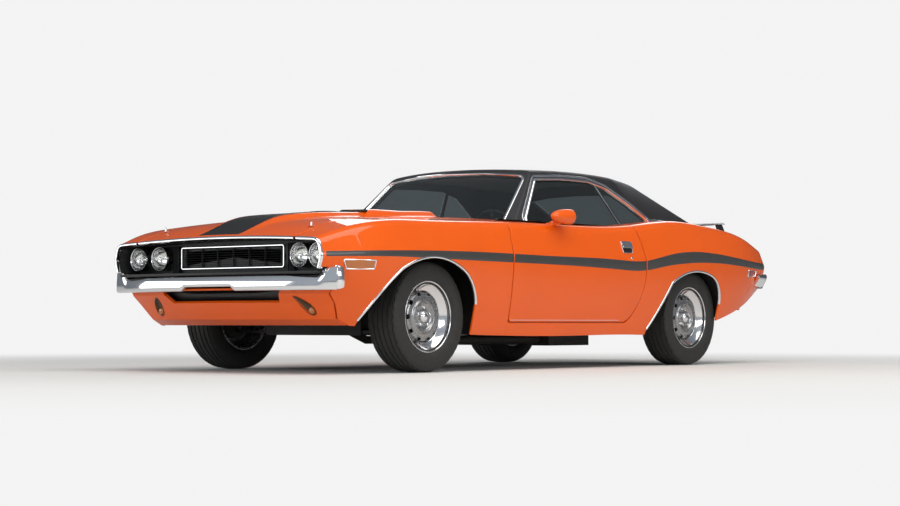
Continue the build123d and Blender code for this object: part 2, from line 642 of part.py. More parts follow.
def rear_bumper():
    """The bright rear bumper, with its wrapped ends and two brackets."""
    bar = arc_wall(REAR_X, 7000.0, 30.0, 872.0, 532, 648)
    for side in (1, -1):
        wrap = along_z([(TAIL_X - 50, side * 860), (TAIL_X - 10, side * 884), (TAIL_X + 170, side * 926),
                        (TAIL_X + 170, side * 936), (TAIL_X - 30, side * 900)], 540, 640)
        bar = bar + wrap
    bar = bar - BODY_SEAT
    for side in (1, -1):
        bar = bar + box(REAR_X + 26, TAIL_X - SEAT_GAP, *sorted((side * 420, side * 480)), 570, 610)
    return bar - plate_holes(REAR_X - 10, REAR_X + 50, REAR_PLATE_Z)


def tail_lamps():
    """The wide tail lamps on the tail panel."""
    x1 = TAIL_X - SEAT_GAP
    return [box(x1 - 22, x1, *sorted((side * 110, side * 735)), 690, 800) for side in (1, -1)]


FLOOR_Z, BOOT_Z, FLOOR_WALL = 226.0, 452.0, 12.0
KICK_X = REAR_AXLE_X + 440
TUNNEL_FRONT = dict(foot=178, top=140, z=492.0)
TUNNEL_REAR = dict(foot=165, top=110, z=386.0)
BULKHEAD_X = DOOR_FRONT_X + HALF_GAP


def tunnel(wall, x0, x1):
    """The tapering tunnel form, moved in by a wall."""
    wires = []
    for x, size in ((x0, TUNNEL_REAR), (x1, TUNNEL_FRONT)):
        foot, top, z = size["foot"] - wall, size["top"] - wall, size["z"] - wall
        low = FLOOR_Z - FLOOR_WALL - (1 if wall else 0)
        wires.append(Wire.make_polygon([Vector(x, -foot, low), Vector(x, -top, z), Vector(x, top, z),
                                        Vector(x, foot, low)], close=True))
    return Solid.make_loft(wires, ruled=True)


def tunnel_top(x):
    """The height of the tunnel's top at a place along the car."""
    x0, x1 = KICK_X + 60, BULKHEAD_X - SEAT_GAP
    return TUNNEL_REAR["z"] + (TUNNEL_FRONT["z"] - TUNNEL_REAR["z"]) * (x - x0) / (x1 - x0)


def floor_pan():
    """The floor: foot wells, tunnel, the step under the rear seat and the boot floor."""
    half, narrow = SILL_INNER_Y - SEAT_GAP, WHEELHOUSE_INNER_Y - SEAT_GAP
    line = [(BULKHEAD_X - SEAT_GAP, 540), (DOOR_FRONT_X - 190, FLOOR_Z), (KICK_X + 160, FLOOR_Z),
            (KICK_X, BOOT_Z), (TAIL_X + 76, BOOT_Z)]
    under = [(x, z - FLOOR_WALL) for x, z in reversed(line)]
    pan = along_y(line + under, -half, half)
    for side in (1, -1):
        pan = pan - box(REAR_X, KICK_X + 20, *sorted((side * narrow, side * 1000)), 0, 1000)
    x0, x1 = KICK_X + 60, BULKHEAD_X - SEAT_GAP
    return (pan + tunnel(0, x0, x1)) - tunnel(FLOOR_WALL, x0 - 1, x1 + 1) - box(
        KICK_X - 60, x0 + 1, -TUNNEL_REAR["top"], TUNNEL_REAR["top"], 0, TUNNEL_REAR["z"] - FLOOR_WALL)


RAIL_Y0, RAIL_Y1 = 352.0, 422.0


def front_structure():
    """The bulkhead, the two frame rails, the inner aprons and the radiator wall."""
    front_x1 = GRILLE_BACK_X - SEAT_GAP
    lid_half = HOOD_HALF_WIDTH + 12
    bulkhead = cross_wall(BULKHEAD_X, BULKHEAD_X + 16, 300, lid_half)
    bulkhead = bulkhead - box(BULKHEAD_X - 10, BULKHEAD_X + 30, -160, 160, 200, 482)
    radiator_wall = cross_wall(front_x1 - 26, front_x1, VALANCE_TOP_Z + 8, lid_half)
    radiator_wall = radiator_wall + box(front_x1 - 26, front_x1, -440, 440, 385, 500)
    radiator_wall = radiator_wall - box(front_x1 - 30, front_x1 + 4, -300, 300, 400, 700)
    pieces = bulkhead + radiator_wall
    x0, x1 = BULKHEAD_X + 4, front_x1 - 10
    for side in (1, -1):
        rail = along_y([(x0, 300), (x1 - 90, 300), (x1, 350), (x1, 400), (x0, 400)],
                       *sorted((side * RAIL_Y0, side * RAIL_Y1)))
        apron = box(x0, x1, *sorted((side * (RAIL_Y1 - 8), side * RAIL_Y1)), 390, 760)
        shelf = box(x0, x1, *sorted((side * (RAIL_Y1 - 8), side * 700)), 750, 760)
        pieces = pieces + rail + apron + (shelf & INNER_CLEAR)
        pieces = pieces + lid_stop(front_x1 - 13, side * 470, 720) + lid_stop(BULKHEAD_X + 40, side * 520, 755)
    return pieces


ENGINE_LOW_Z = 300.0
AXLE_HOUSING_RADIUS = 105.0
AXLE_RADIUS = 38.0
SPRING_Y = 520.0


def engine():
    """The engine as one plain block, from its front pulley to the bell housing."""
    return box(BULKHEAD_X + 100, FRONT_AXLE_X + 150, -285, 285, ENGINE_LOW_Z, 800)


def driveline():
    """The gearbox and the propeller shaft, from the engine to the rear axle."""
    x0 = BULKHEAD_X + 100 - SEAT_GAP
    x1 = x0 - 700
    ends = ((x0, 130, 312, 456), (x1, 45, 262, 330))
    gearbox = Solid.make_loft([
        Wire.make_polygon([Vector(x, -y, z0), Vector(x, y, z0), Vector(x, y, z1), Vector(x, -y, z1)], close=True)
        for x, y, z0, z1 in ends], ruled=True)
    housing_front = REAR_AXLE_X + AXLE_HOUSING_RADIUS + SEAT_GAP
    return gearbox + rod((x1 + 20, 0, 296), (housing_front, 0, TYRE_RADIUS - 6), 36)


def rear_axle():
    """The rear axle with its gear housing, spindles and leaf springs."""
    half = REAR_TRACK / 2
    flange_y = half - 28 - 6
    x, z = REAR_AXLE_X, TYRE_RADIUS
    tube = rod((x, -flange_y, z), (x, flange_y, z), AXLE_RADIUS)
    housing = Solid.make_sphere(AXLE_HOUSING_RADIUS, Plane(origin=(x, 0, z)))
    spindle = rod((x, -half - 24, z), (x, half + 24, z), SPINDLE_RADIUS)
    axle = tube + housing + spindle
    for side in (1, -1):
        y = side * SPRING_Y
        spring = along_y([(x + 540, 252), (x + 540, 270), (x, 270), (x - 600, 372), (x - 600, 354), (x, 250)],
                         y - 32, y + 32)
        axle = axle + spring + box(x - 45, x + 45, y - 38, y + 38, 262, z)
    return axle


LOW_ARM_Z, HIGH_ARM_Z, ARM_WALL, PIN_REACH = 236.0, 446.0, 18.0, 44.0
PIN_RADIUS = 12.0


def control_arm(side, inner_y, z, pin_to):
    """A control arm from the frame to its ball joint, with the pin that the knuckle turns on."""
    x, y, half = FRONT_AXLE_X, side * KINGPIN_Y, ARM_WALL / 2
    plate = along_z([(x - 75, side * inner_y), (x + 75, side * inner_y), (x + 24, y), (x - 24, y)],
                    z - half, z + half)
    boss = rod((x, y, z - half), (x, y, z + half), 26)
    return plate + boss + rod((x, y, z), (x, y, z + pin_to), PIN_RADIUS)


def front_suspension():
    """The crossmember and the control arms that carry the knuckles."""
    frame = box(FRONT_AXLE_X - 80, FRONT_AXLE_X + 80, -RAIL_Y0 - 40, RAIL_Y0 + 40, 215, 300 - SEAT_GAP)
    upper = []
    for side in (1, -1):
        frame = frame + control_arm(side, RAIL_Y0, LOW_ARM_Z, PIN_REACH)
        upper.append(control_arm(side, RAIL_Y1 + SEAT_GAP, HIGH_ARM_Z, -PIN_REACH))
    return [frame] + upper


def knuckle():
    """The left knuckle: the upright on its two pins, the spindle and the steering arm."""
    x, y = FRONT_AXLE_X, KINGPIN_Y
    upright = rod((x, y, 251), (x, y, 431), 25)
    bore = rod((x, y, 240), (x, y, 290), 12 + RUNNING_GAP) + rod((x, y, 395), (x, y, 440), 12 + RUNNING_GAP)
    spindle = rod((x, y, TYRE_RADIUS), (x, FRONT_TRACK / 2 + 24, TYRE_RADIUS), SPINDLE_RADIUS)
    arm = rod((x, y, 300), (x - 118, y - 42, 292), 11)
    return (upright - bore) + spindle + arm


TYRE_SIDES = 64
BEAD_HALF = RIM_WIDTH / 2 - 6.4
SHOULDER_HALF = TYRE_WIDTH / 2 - 20
BULGE_RADIUS = RIM_RADIUS + 78


def many_sided(rings, x, z):
    """A solid through rings of flat sides about a wheel's axis, given as (place across, radius)."""
    wires = []
    for y, radius in rings:
        turns = [2 * math.pi * k / TYRE_SIDES for k in range(TYRE_SIDES)]
        wires.append(Wire.make_polygon([Vector(x + radius * math.cos(a), y, z + radius * math.sin(a))
                                        for a in turns], close=True))
    return Solid.make_loft(wires, ruled=True)


def tyre(centre):
    """One tyre: tread, shoulders and dished sides in flat facets round a round bore."""
    x, y, z = centre
    half = TYRE_WIDTH / 2
    form = many_sided([(y - half, BULGE_RADIUS), (y - SHOULDER_HALF, TYRE_RADIUS), (y + SHOULDER_HALF, TYRE_RADIUS),
                       (y + half, BULGE_RADIUS)], x, z)
    for side in (1, -1):
        dish = many_sided([(y + side * BEAD_HALF, RIM_RADIUS + 1), (y + side * half, BULGE_RADIUS - 2),
                           (y + side * (half + 10), BULGE_RADIUS - 2)], x, z)
        form = form - dish
    return form - rod((x, y - half - 5, z), (x, y + half + 5, z), RIM_RADIUS)


SLOT_COUNT = 10


def wheel(centre, side):
    """One slotted steel wheel: rim, dished disc, cap, hub and brake drum on the spindle's bore."""
    half = RIM_WIDTH / 2
    seat = RIM_RADIUS - SEAT_GAP
    rim = turned([(seat + 20, half), (seat, half - 6), (seat, 6 - half), (seat + 20, -half), (seat - 8, -half),
                  (seat - 20, 45 - half), (seat - 20, half - 40), (seat + 6, half)], centre, side)
    disc = turned([(30, 40), (62, 60), (110, 56), (seat - 10, 40), (seat - 10, 28), (106, 46), (62, 50),
                   (30, 30)], centre, side)
    x, y, z = centre
    for i in range(SLOT_COUNT):
        angle = 360.0 / SLOT_COUNT * i
        slot = box(x - 16, x + 16, y - 120, y + 120, z + 118, z + 140)
        disc = disc - slot.rotate(Axis((x, y, z), (0, 1, 0)), angle)
    bore = SPINDLE_RADIUS + RUNNING_GAP
    hub = turned([(0, 76), (30, 70), (34, 28), (140, 14), (140, -28), (bore, -28), (bore, 30), (0, 30)], centre,
                 side)
    return rim + disc + hub


STEER_CENTRE = (DOOR_FRONT_X - 545.0, 400.0, 838.0)
STEER_TILT = 24.0
STEER_RADIUS = 186.0


def steering_axis():
    """The unit way along the steering column, towards the driver."""
    tilt = math.radians(STEER_TILT)
    return Vector(-math.cos(tilt), 0, math.sin(tilt))


def steering_wheel():
    """The three-spoke steering wheel on its hub."""
    centre, way = Vector(*STEER_CENTRE), steering_axis()
    plane = Plane(origin=centre, x_dir=(0, 1, 0), z_dir=way)
    ring = [Vector(0, STEER_RADIUS + 11 * math.cos(math.radians(a)), 11 * math.sin(math.radians(a)))
            for a in range(0, 360, 60)]
    rim_face = Face(Wire.make_polygon([plane.from_local_coords(p) for p in ring], close=True))
    rim = Solid.revolve(rim_face, 360, Axis(plane.origin, plane.z_dir))
    start = centre - way * 46
    hub = rod(tuple(start), tuple(centre - way * 6), 34)
    for angle in (90, 210, 330):
        turn = math.radians(angle)
        tip = plane.from_local_coords(Vector(STEER_RADIUS * math.cos(turn), STEER_RADIUS * math.sin(turn), 0))
        hub = hub + rod(tuple(centre - way * 20), tuple(tip), 8)
    return rim + hub


def dashboard():
    """The dashboard, with the steering column and the console between the seats."""
    x1 = DOOR_FRONT_X - 30
    pad = along_y([(x1, 560), (x1, 900), (x1 - 210, 915), (x1 - 300, 880), (x1 - 315, 800), (x1 - 262, 640),
                   (x1 - 200, 560)], -DOOR_INNER_Y + 30, DOOR_INNER_Y - 30)
    pad = pad & cowl_room()
    centre, way = Vector(*STEER_CENTRE), steering_axis()
    column = rod(tuple(centre - way * 46.3), tuple(centre - way * 330), 30)
    console_end = x1 - 1066
    console = along_y([(x1 - 230, 640), (x1 - 300, 600), (x1 - 420, 520), (console_end + 6, 474),
                       (console_end, tunnel_top(console_end) + SEAT_GAP),
                       (x1 - 190, tunnel_top(x1 - 190) + SEAT_GAP)], -92, 92)
    return pad + column + console


def cowl_room():
    """The space below the cowl and inside the windscreen."""
    return body(SKIN + 2, 2 * SKIN, REACH) + cabin(GLASS + 12)


def front_seats():
    """The two front bucket seats, each with its cushion and backrest in one soft form."""
    x0, low = DOOR_FRONT_X - 620, FLOOR_Z + SEAT_GAP
    outline = [(x0 - 20, low), (x0, 400), (x0 - 10, 440), (x0 - 40, 458), (x0 - 400, 418), (x0 - 570, 920),
               (x0 - 620, 945), (x0 - 668, 925), (x0 - 540, 400), (x0 - 480, low)]
    seat = along_y(outline, 182, 642)
    return [seat, mirrored(seat)]


def rear_seat():
    """The rear bench with its backrest."""
    x0 = DOOR_REAR_X - 150
    low = tunnel_top(x0 + 10) + SEAT_GAP
    outline = [(x0, low), (x0 + 10, 440), (x0 - 40, 474), (x0 - 420, 490), (x0 - 560, 862), (x0 - 610, 886),
               (x0 - 650, 872), (x0 - 590, BOOT_Z + SEAT_GAP), (KICK_X + 6, BOOT_Z + SEAT_GAP), (KICK_X + 50, low)]
    return along_y(outline, -590, 590)


def pipe(points, radius):
    """A round pipe through points, with a ball at each bend."""
    shape = None
    for a, b in zip(points, points[1:]):
        run = rod(a, b, radius)
        shape = run if shape is None else shape + run
    for point in points[1:-1]:
        shape = shape + Solid.make_sphere(radius, Plane(origin=point))
    return shape


PIPE_RADIUS = 26.0


def exhaust():
    """The two exhaust pipes with their mufflers, which rise over the rear axle."""
    x, low = REAR_AXLE_X, FLOOR_Z - FLOOR_WALL - PIPE_RADIUS - 8
    over = TYRE_RADIUS + AXLE_RADIUS + PIPE_RADIUS + 10
    run = [(BULKHEAD_X + 250, 250, 268), (BULKHEAD_X - 40, 290, low), (x + 980, 300, low)]
    tail = [(x + 560, 300, low), (x + 330, 340, 280), (x + 90, 380, over), (x - 110, 380, over),
            (x - 300, 400, 300), (TAIL_X + 60, 420, 292)]
    muffler = box(x + 540, x + 1000, 205, 395, 138, low + PIPE_RADIUS)
    hanger = box(x + 740, x + 790, 270, 330, low, FLOOR_Z - FLOOR_WALL - SEAT_GAP)
    port = rod(run[0], (run[0][0], run[0][1], ENGINE_LOW_Z - SEAT_GAP), PIPE_RADIUS - 2)
    line = pipe(run, PIPE_RADIUS) + muffler + pipe(tail, PIPE_RADIUS - 2) + hanger + port
    return [line, mirrored(line)]


def fuel_tank():
    """The flat fuel tank under the boot floor."""
    return box(REAR_AXLE_X - 760, REAR_AXLE_X - 330, -330, 330, 290, BOOT_Z - FLOOR_WALL - SEAT_GAP)


def main():
    left_fender, left_quarter, left_door, pane = fender(), quarter(), door(), door_glass()
    save("fender_left", left_fender)
    save("fender_right", mirrored(left_fender))
    save("quarter_left", left_quarter)
    save("quarter_right", mirrored(left_quarter))
    save("door_left", left_door)
    save("door_right", mirrored(left_door))
    save("door_glass_left", pane)
    save("door_glass_right", mirrored(pane))
    side_glass = quarter_glass()
    save("rear_glass", rear_window(), side_glass, mirrored(side_glass))
    save("windshield", windshield())
    save("roof", roof())
    save("hood", hood())
    save("cowl", cowl())
    save("rear_deck", rear_deck())
    save("decklid", decklid())
    save("rear_wing", rear_wing())
    save("tail_panel", tail_panel())
    save("tail_lamps", *tail_lamps())
    save("grille", grille())
    save("headlamps", *headlamps())
    save("front_valance", front_valance())
    save("front_bumper", front_bumper())
    save("rear_bumper", rear_bumper())
    save("floor_pan", floor_pan())
    save("front_structure", front_structure())
    save("engine", engine())
    save("driveline", driveline())
    save("rear_axle", rear_axle())
    save("front_suspension", *front_suspension())
    left_knuckle = knuckle()
    save("knuckle_left", left_knuckle)
    save("knuckle_right", mirrored(left_knuckle))
    for end, x, track in (("front", FRONT_AXLE_X, FRONT_TRACK), ("rear", REAR_AXLE_X, REAR_TRACK)):
        for name, side in (("left", 1), ("right", -1)):
            centre = (x, side * track / 2, TYRE_RADIUS)
            save(f"tyre_{end}_{name}", tyre(centre))
            save(f"wheel_{end}_{name}", wheel(centre, side))
    save("steering_wheel", steering_wheel())
    save("dashboard", dashboard())
    save("front_seats", *front_seats())
    save("rear_seat", rear_seat())
    save("exhaust", *exhaust())
    save("fuel_tank", fuel_tank())


main()
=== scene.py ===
"""The looks of the two-door hardtop: dense body panels, glass, bright trim, wheels, cabin and stage."""
import math

import bmesh
import bpy
import numpy as np
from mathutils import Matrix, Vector


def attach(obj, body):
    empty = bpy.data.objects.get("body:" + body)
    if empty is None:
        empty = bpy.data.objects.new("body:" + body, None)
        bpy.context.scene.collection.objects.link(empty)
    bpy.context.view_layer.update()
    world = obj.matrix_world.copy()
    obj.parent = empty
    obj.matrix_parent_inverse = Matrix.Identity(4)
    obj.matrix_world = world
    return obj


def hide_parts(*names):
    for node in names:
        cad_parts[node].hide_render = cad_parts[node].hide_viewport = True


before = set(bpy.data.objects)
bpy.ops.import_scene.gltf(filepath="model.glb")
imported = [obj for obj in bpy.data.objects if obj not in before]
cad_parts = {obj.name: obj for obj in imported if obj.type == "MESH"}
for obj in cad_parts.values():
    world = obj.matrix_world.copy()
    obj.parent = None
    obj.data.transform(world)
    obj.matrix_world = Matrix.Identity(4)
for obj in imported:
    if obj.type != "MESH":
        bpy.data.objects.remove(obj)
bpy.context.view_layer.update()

# Sizes shared with the part's source, in metres
HALF_WIDTH = 0.9665
FRONT_AXLE_X, REAR_AXLE_X = 1.4545, -1.3395
FRONT_X, REAR_X = 2.4295, -2.4295
NOSE_X, TAIL_X = 2.3595, -2.3415
DOOR_FRONT_X, DOOR_REAR_X, DECK_FRONT_X = 0.7545, -0.5805, -1.8955
BELT_Z, DOOR_BOTTOM_Z = 0.925, 0.297
HOOD_HALF, DECK_HALF = 0.645, 0.640
GAP = 0.008
TYRE_R = 0.326
FRONT_Y, REAR_Y = 0.758, 0.7705
ROOF_TOP = 1.316
SKIN, SEAT_GAP, REACH = 0.012, 0.0003, 0.050
SIDES = ((1, "left"), (-1, "right"))
# Body sections as in the part's source: place along the car, then in millimetres how far in from the
# widest half width and how high the sill, the crease and the shoulder are, then the crown's height
ROWS = np.array([
    (NOSE_X, 370, 300, 112, 662, 178, 765, 788),
    (NOSE_X - 0.190, 250, 284, 43, 675, 130, 824, 852),
    (FRONT_AXLE_X, 100, 235, 9, 695, 112, 890, 935),
    (DOOR_FRONT_X, 88, 214, 18, 695, 108, 908, 962),
    ((DOOR_FRONT_X + DOOR_REAR_X) / 2, 84, 210, 20, 690, 106, 914, 950),
    (DOOR_REAR_X, 84, 214, 16, 690, 106, 936, 960),
    (REAR_AXLE_X + 0.200, 72, 222, 4, 745, 112, 985, 990),
    (REAR_AXLE_X - 0.200, 60, 290, 0, 752, 120, 968, 990),
    (TAIL_X + 0.250, 102, 436, 46, 735, 140, 897, 946),
    (TAIL_X, 162, 528, 94, 700, 180, 830, 880)], float)
ROWS[:, 1:] /= 1000.0


def beyond(before, last):
    """The section that the way from before to last leads to, further on by REACH."""
    return last + (last - before) * REACH / abs(last[0] - before[0])


ROWS = np.vstack([beyond(ROWS[1], ROWS[0]), ROWS, beyond(ROWS[-2], ROWS[-1])])[::-1]


# Materials
def add_node(tree, kind, **values):
    """A shader node with values for its inputs, where _ in a name stands for a space."""
    node = tree.nodes.new("ShaderNode" + kind)
    for name, value in values.items():
        node.inputs[name.replace("_", " ")].default_value = value
    return node


def mixed(tree, factor, dark, light, target):
    """Mixes two colours by a node's factor and links the result to an input."""
    mix = add_node(tree, "Mix")
    mix.data_type = "RGBA"
    mix.inputs[6].default_value = (*dark, 1)
    mix.inputs[7].default_value = (*light, 1)
    tree.links.new(factor, mix.inputs["Factor"])
    tree.links.new(mix.outputs[2], target)


def node_material(name, color, rough=0.4, metal=0.0, coat=0.0, coat_rough=0.03, spread=0.05, scale=40.0,
                  bump=0.0, bump_scale=600.0, tint=0.06, tint_scale=9.0, sheen=0.0, ior=1.5, transmission=0.0,
                  grain=None, specular=0.5):
    """A procedural material: noise drives the tint, the roughness and a fine bump."""
    mat = bpy.data.materials.new(name)
    mat.use_nodes = True
    nt = mat.node_tree
    link = nt.links.new
    bsdf = nt.nodes["Principled BSDF"]
    place = add_node(nt, "TexCoord").outputs["Object"]
    values = {"Base Color": (*color, 1), "Metallic": metal, "Roughness": rough, "IOR": ior,
              "Specular IOR Level": specular, "Coat Weight": coat, "Coat Roughness": coat_rough,
              "Sheen Weight": sheen, "Transmission Weight": transmission}
    for key, value in values.items():
        bsdf.inputs[key].default_value = value
    if tint:
        tone = add_node(nt, "TexNoise", Scale=tint_scale, Detail=3)
        link(place, tone.inputs["Vector"])
        mixed(nt, tone.outputs["Fac"], [c * (1 - tint) for c in color],
              [min(1, c * (1 + tint)) for c in color], bsdf.inputs["Base Color"])
    if spread:
        fine = add_node(nt, "TexNoise", Scale=scale, Detail=4)
        span = add_node(nt, "MapRange", To_Min=max(0.0, rough - spread), To_Max=min(1.0, rough + spread))
        link(place, fine.inputs["Vector"])
        link(fine.outputs["Fac"], span.inputs["Value"])
        link(span.outputs["Result"], bsdf.inputs["Roughness"])
    if bump:
        if grain == "leather":
            tex = add_node(nt, "TexVoronoi", Scale=bump_scale)
        elif grain == "ribs":
            tex = add_node(nt, "TexWave", Scale=bump_scale)
            tex.wave_type, tex.bands_direction = "BANDS", "Y"
        else:
            tex = add_node(nt, "TexNoise", Scale=bump_scale, Detail=3)
        link(place, tex.inputs["Vector"])
        relief = add_node(nt, "Bump", Strength=bump, Distance=0.0006)
        link(tex.outputs["Distance" if grain == "leather" else "Fac"], relief.inputs["Height"])
        link(relief.outputs["Normal"], bsdf.inputs["Normal"])
    return mat


PAINT = node_material("paint_orange", (0.80, 0.105, 0.003), rough=0.45, coat=0.8, coat_rough=0.02,
                      spread=0.03, specular=0.05, scale=60, bump=0.02, bump_scale=900, tint=0.05,
                      tint_scale=2.5)
BLACK = node_material("paint_satin_black", (0.012, 0.012, 0.013), rough=0.42, spread=0.05, bump=0.05,
                      bump_scale=700, tint=0.2)
STRIPE = node_material("stripe_dark_grey", (0.045, 0.044, 0.042), rough=0.35, spread=0.05, bump=0.03,
                       bump_scale=900, tint=0.12, coat=0.3)
VINYL = node_material("roof_vinyl", (0.014, 0.014, 0.016), rough=0.5, spread=0.08, scale=120, bump=0.5,
                      bump_scale=420, tint=0.25, grain="leather")
CHROME = node_material("chrome", (0.83, 0.83, 0.84), rough=0.06, metal=1.0, spread=0.03, scale=25, bump=0.01,
                       bump_scale=60, tint=0.03)
BRIGHT = node_material("polished_alloy", (0.74, 0.74, 0.75), rough=0.13, metal=1.0, spread=0.05, scale=60,
                       bump=0.02, bump_scale=200, tint=0.04)
SILVER = node_material("wheel_silver", (0.34, 0.34, 0.34), rough=0.28, metal=0.85, spread=0.07, scale=90,
                       bump=0.05, bump_scale=900, tint=0.08)
GLASS = node_material("window_glass", (0.80, 0.86, 0.84), rough=0.0, transmission=1.0, ior=1.45, spread=0,
                      tint=0.02)
LENS = node_material("lamp_glass", (0.95, 0.96, 0.95), rough=0.03, transmission=1.0, ior=1.4, spread=0.02,
                     bump=0.35, bump_scale=28, grain="ribs", tint=0.02)
REFLECTOR = node_material("lamp_reflector", (0.86, 0.86, 0.84), rough=0.16, metal=1.0, spread=0.06, scale=30,
                          bump=0.05, bump_scale=80, tint=0.05)
RED = node_material("red_lens", (0.34, 0.006, 0.008), rough=0.12, coat=0.8, spread=0.04, bump=0.3,
                    bump_scale=60, grain="ribs", tint=0.1)
BRONZE = node_material("lamp_recess", (0.10, 0.075, 0.05), rough=0.3, metal=0.7, spread=0.08, scale=30,
                       bump=0.1, bump_scale=200, tint=0.15)
AMBER = node_material("amber_lens", (0.45, 0.13, 0.02), rough=0.15, coat=0.8, spread=0.04, bump=0.2,
                      bump_scale=60, grain="ribs", tint=0.1)
RUBBER = node_material("tyre_rubber", (0.021, 0.020, 0.019), rough=0.72, spread=0.1, scale=70, bump=0.25,
                       bump_scale=500, tint=0.25, tint_scale=30)
TRIM = node_material("black_plastic", (0.010, 0.010, 0.010), rough=0.5, spread=0.08, bump=0.15,
                     bump_scale=900, tint=0.25)
SEAT = node_material("seat_vinyl", (0.016, 0.015, 0.015), rough=0.46, spread=0.08, scale=60, bump=0.4,
                     bump_scale=500, tint=0.25, grain="leather", sheen=0.1)
CARPET = node_material("carpet", (0.012, 0.012, 0.012), rough=0.95, spread=0.04, bump=0.8, bump_scale=900,
                       tint=0.4, tint_scale=60, sheen=0.3)
UNDER = node_material("underbody_black", (0.016, 0.016, 0.016), rough=0.62, spread=0.12, bump=0.3,
                      bump_scale=300, tint=0.3)
CAST = node_material("cast_iron", (0.05, 0.048, 0.045), rough=0.68, metal=0.4, spread=0.12, bump=0.4,
                     bump_scale=260, tint=0.25)
STEEL = node_material("bare_steel", (0.28, 0.27, 0.26), rough=0.38, metal=0.9, spread=0.12, bump=0.1,
                      bump_scale=220, tint=0.2)


# Meshes
def unit(a):
    """Vectors at length 1."""
    return a / np.maximum(np.linalg.norm(a, axis=-1, keepdims=True), 1e-12)


def make(name, v, faces, mat, body, nodes=(), slot=None, sharp=38.0):
    """A mesh object that rides a body, smooth but for edges over sharp degrees."""
    mesh = bpy.data.meshes.new(name)
    mesh.from_pydata([tuple(map(float, p)) for p in v], [], [tuple(f) for f in faces])
    mesh.validate()
    bm = bmesh.new()
    bm.from_mesh(mesh)
    bmesh.ops.remove_doubles(bm, verts=bm.verts, dist=1e-5)
    limit = math.radians(sharp)
    for f in bm.faces:
        f.smooth = True
    for e in bm.edges:
        if len(e.link_faces) == 2 and e.calc_face_angle(0.0) > limit:
            e.smooth = False
    bm.to_mesh(mesh)
    bm.free()
    obj = bpy.data.objects.new(name, mesh)
    bpy.context.scene.collection.objects.link(obj)
    mesh.materials.append(mat)
    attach(obj, body)
    if nodes:
        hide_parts(*nodes)
    return obj


def join(*sheets):
    """Several (vertices, faces) as one."""
    v, faces, n = [], [], 0
    for sv, sf in sheets:
        v.append(np.asarray(sv, float))
        faces += [tuple(i + n for i in f) for f in sf]
        n += len(sv)
    return np.concatenate(v), faces


def circle(n):
    """n angles round a circle, from 0."""
    return np.linspace(0, 2 * math.pi, n, endpoint=False)


def lengths(p):
    """How far along a line each of its points is."""
    return np.concatenate([[0], np.cumsum(np.linalg.norm(np.diff(p, axis=0), axis=1))])


def loop_way(p):
    """Unit directions along a closed loop."""
    return unit(np.roll(p, -1, 0) - np.roll(p, 1, 0))


def at_x(x, line):
    """Places (y, z) as points at one place along the car."""
    return np.stack([np.full(len(line), x), line[:, 0], line[:, 1]], 1)


def flipped(sheet):
    """The same sheet on the car's right."""
    return turned((np.asarray(sheet[0]) * (1, -1, 1), sheet[1]))


def turned(sheet, over=True):
    """The same sheet with its faces turned over, where over says so."""
    v, faces = sheet
    return v, [tuple(reversed(f)) for f in faces] if over else faces


def grid(points, wrap=False):
    """Vertices and quads of a (rows, columns, 3) array."""
    r, c = points.shape[:2]
    faces = []
    for i in range(r - 1):
        for j in range(c if wrap else c - 1):
            k = (j + 1) % c
            faces.append((i * c + j, (i + 1) * c + j, (i + 1) * c + k, i * c + k))
    return points.reshape(-1, 3), faces


def clip(sheet, field):
    """The part of a sheet where field(vertices) is positive, cut cleanly along its zero line."""
    v, faces = sheet
    d = field(v)
    inside = (d >= 0).tolist()
    cut, pairs, out, n = {}, [], [], len(v)
    for f in faces:
        flags = [inside[i] for i in f]
        if all(flags):
            out.append(f)
        elif any(flags):
            g = []
            for a, b, fa, fb in zip(f, f[1:] + f[:1], flags, flags[1:] + flags[:1]):
                if fa:
                    g.append(a)
                if fa != fb:
                    key = (a, b) if a < b else (b, a)
                    if key not in cut:
                        cut[key] = n + len(pairs)
                        pairs.append(key)
                    g.append(cut[key])
            out.append(tuple(g))
    if pairs:
        pa, pb = v[[p[0] for p in pairs]], v[[p[1] for p in pairs]]
        da, db = d[[p[0] for p in pairs]], d[[p[1] for p in pairs]]
        for _ in range(4):
            t = (da / (da - db))[:, None]
            mid = pa + (pb - pa) * t
            dm = field(mid)
            same = np.sign(dm) == np.sign(da)
            pa, da = np.where(same[:, None], mid, pa), np.where(same, dm, da)
            pb, db = np.where(same[:, None], pb, mid), np.where(same, db, dm)
            stuck = np.abs(da - db) < 1e-12
            db = np.where(stuck, da - 1e-9, db)
        v = np.concatenate([v, mid])
    used = sorted({i for f in out for i in f})
    place = {old: new for new, old in enumerate(used)}
    return v[used], [tuple(place[i] for i in f) for f in out]


def normals(v, faces):
    """Vertex normals, weighted by area."""
    out = np.zeros_like(v)
    for size in (3, 4, 5, 6, 7, 8):
        some = np.array([f for f in faces if len(f) == size])
        if not len(some):
            continue
        p = v[some]
        n = np.zeros((len(some), 3))
        for k in range(size):
            n += np.cross(p[:, k], p[:, (k + 1) % size])
        for k in range(size):
            np.add.at(out, some[:, k], n)
    return unit(out)


def facing(sheet, at, axis, sign):
    """The sheet, turned over where its normal at point number at hasn't this sign along an axis."""
    return turned(sheet, normals(*sheet)[at][axis] * sign < 0)


def capped(rows):
    """Rings of points as a closed form with two flat ends."""
    rows = np.array(rows)
    v, faces = grid(rows, wrap=True)
    count, m = rows.shape[:2]
    faces.append(tuple(reversed(range(m))))
    faces.append(tuple((count - 1) * m + k for k in range(m)))
    return v, faces


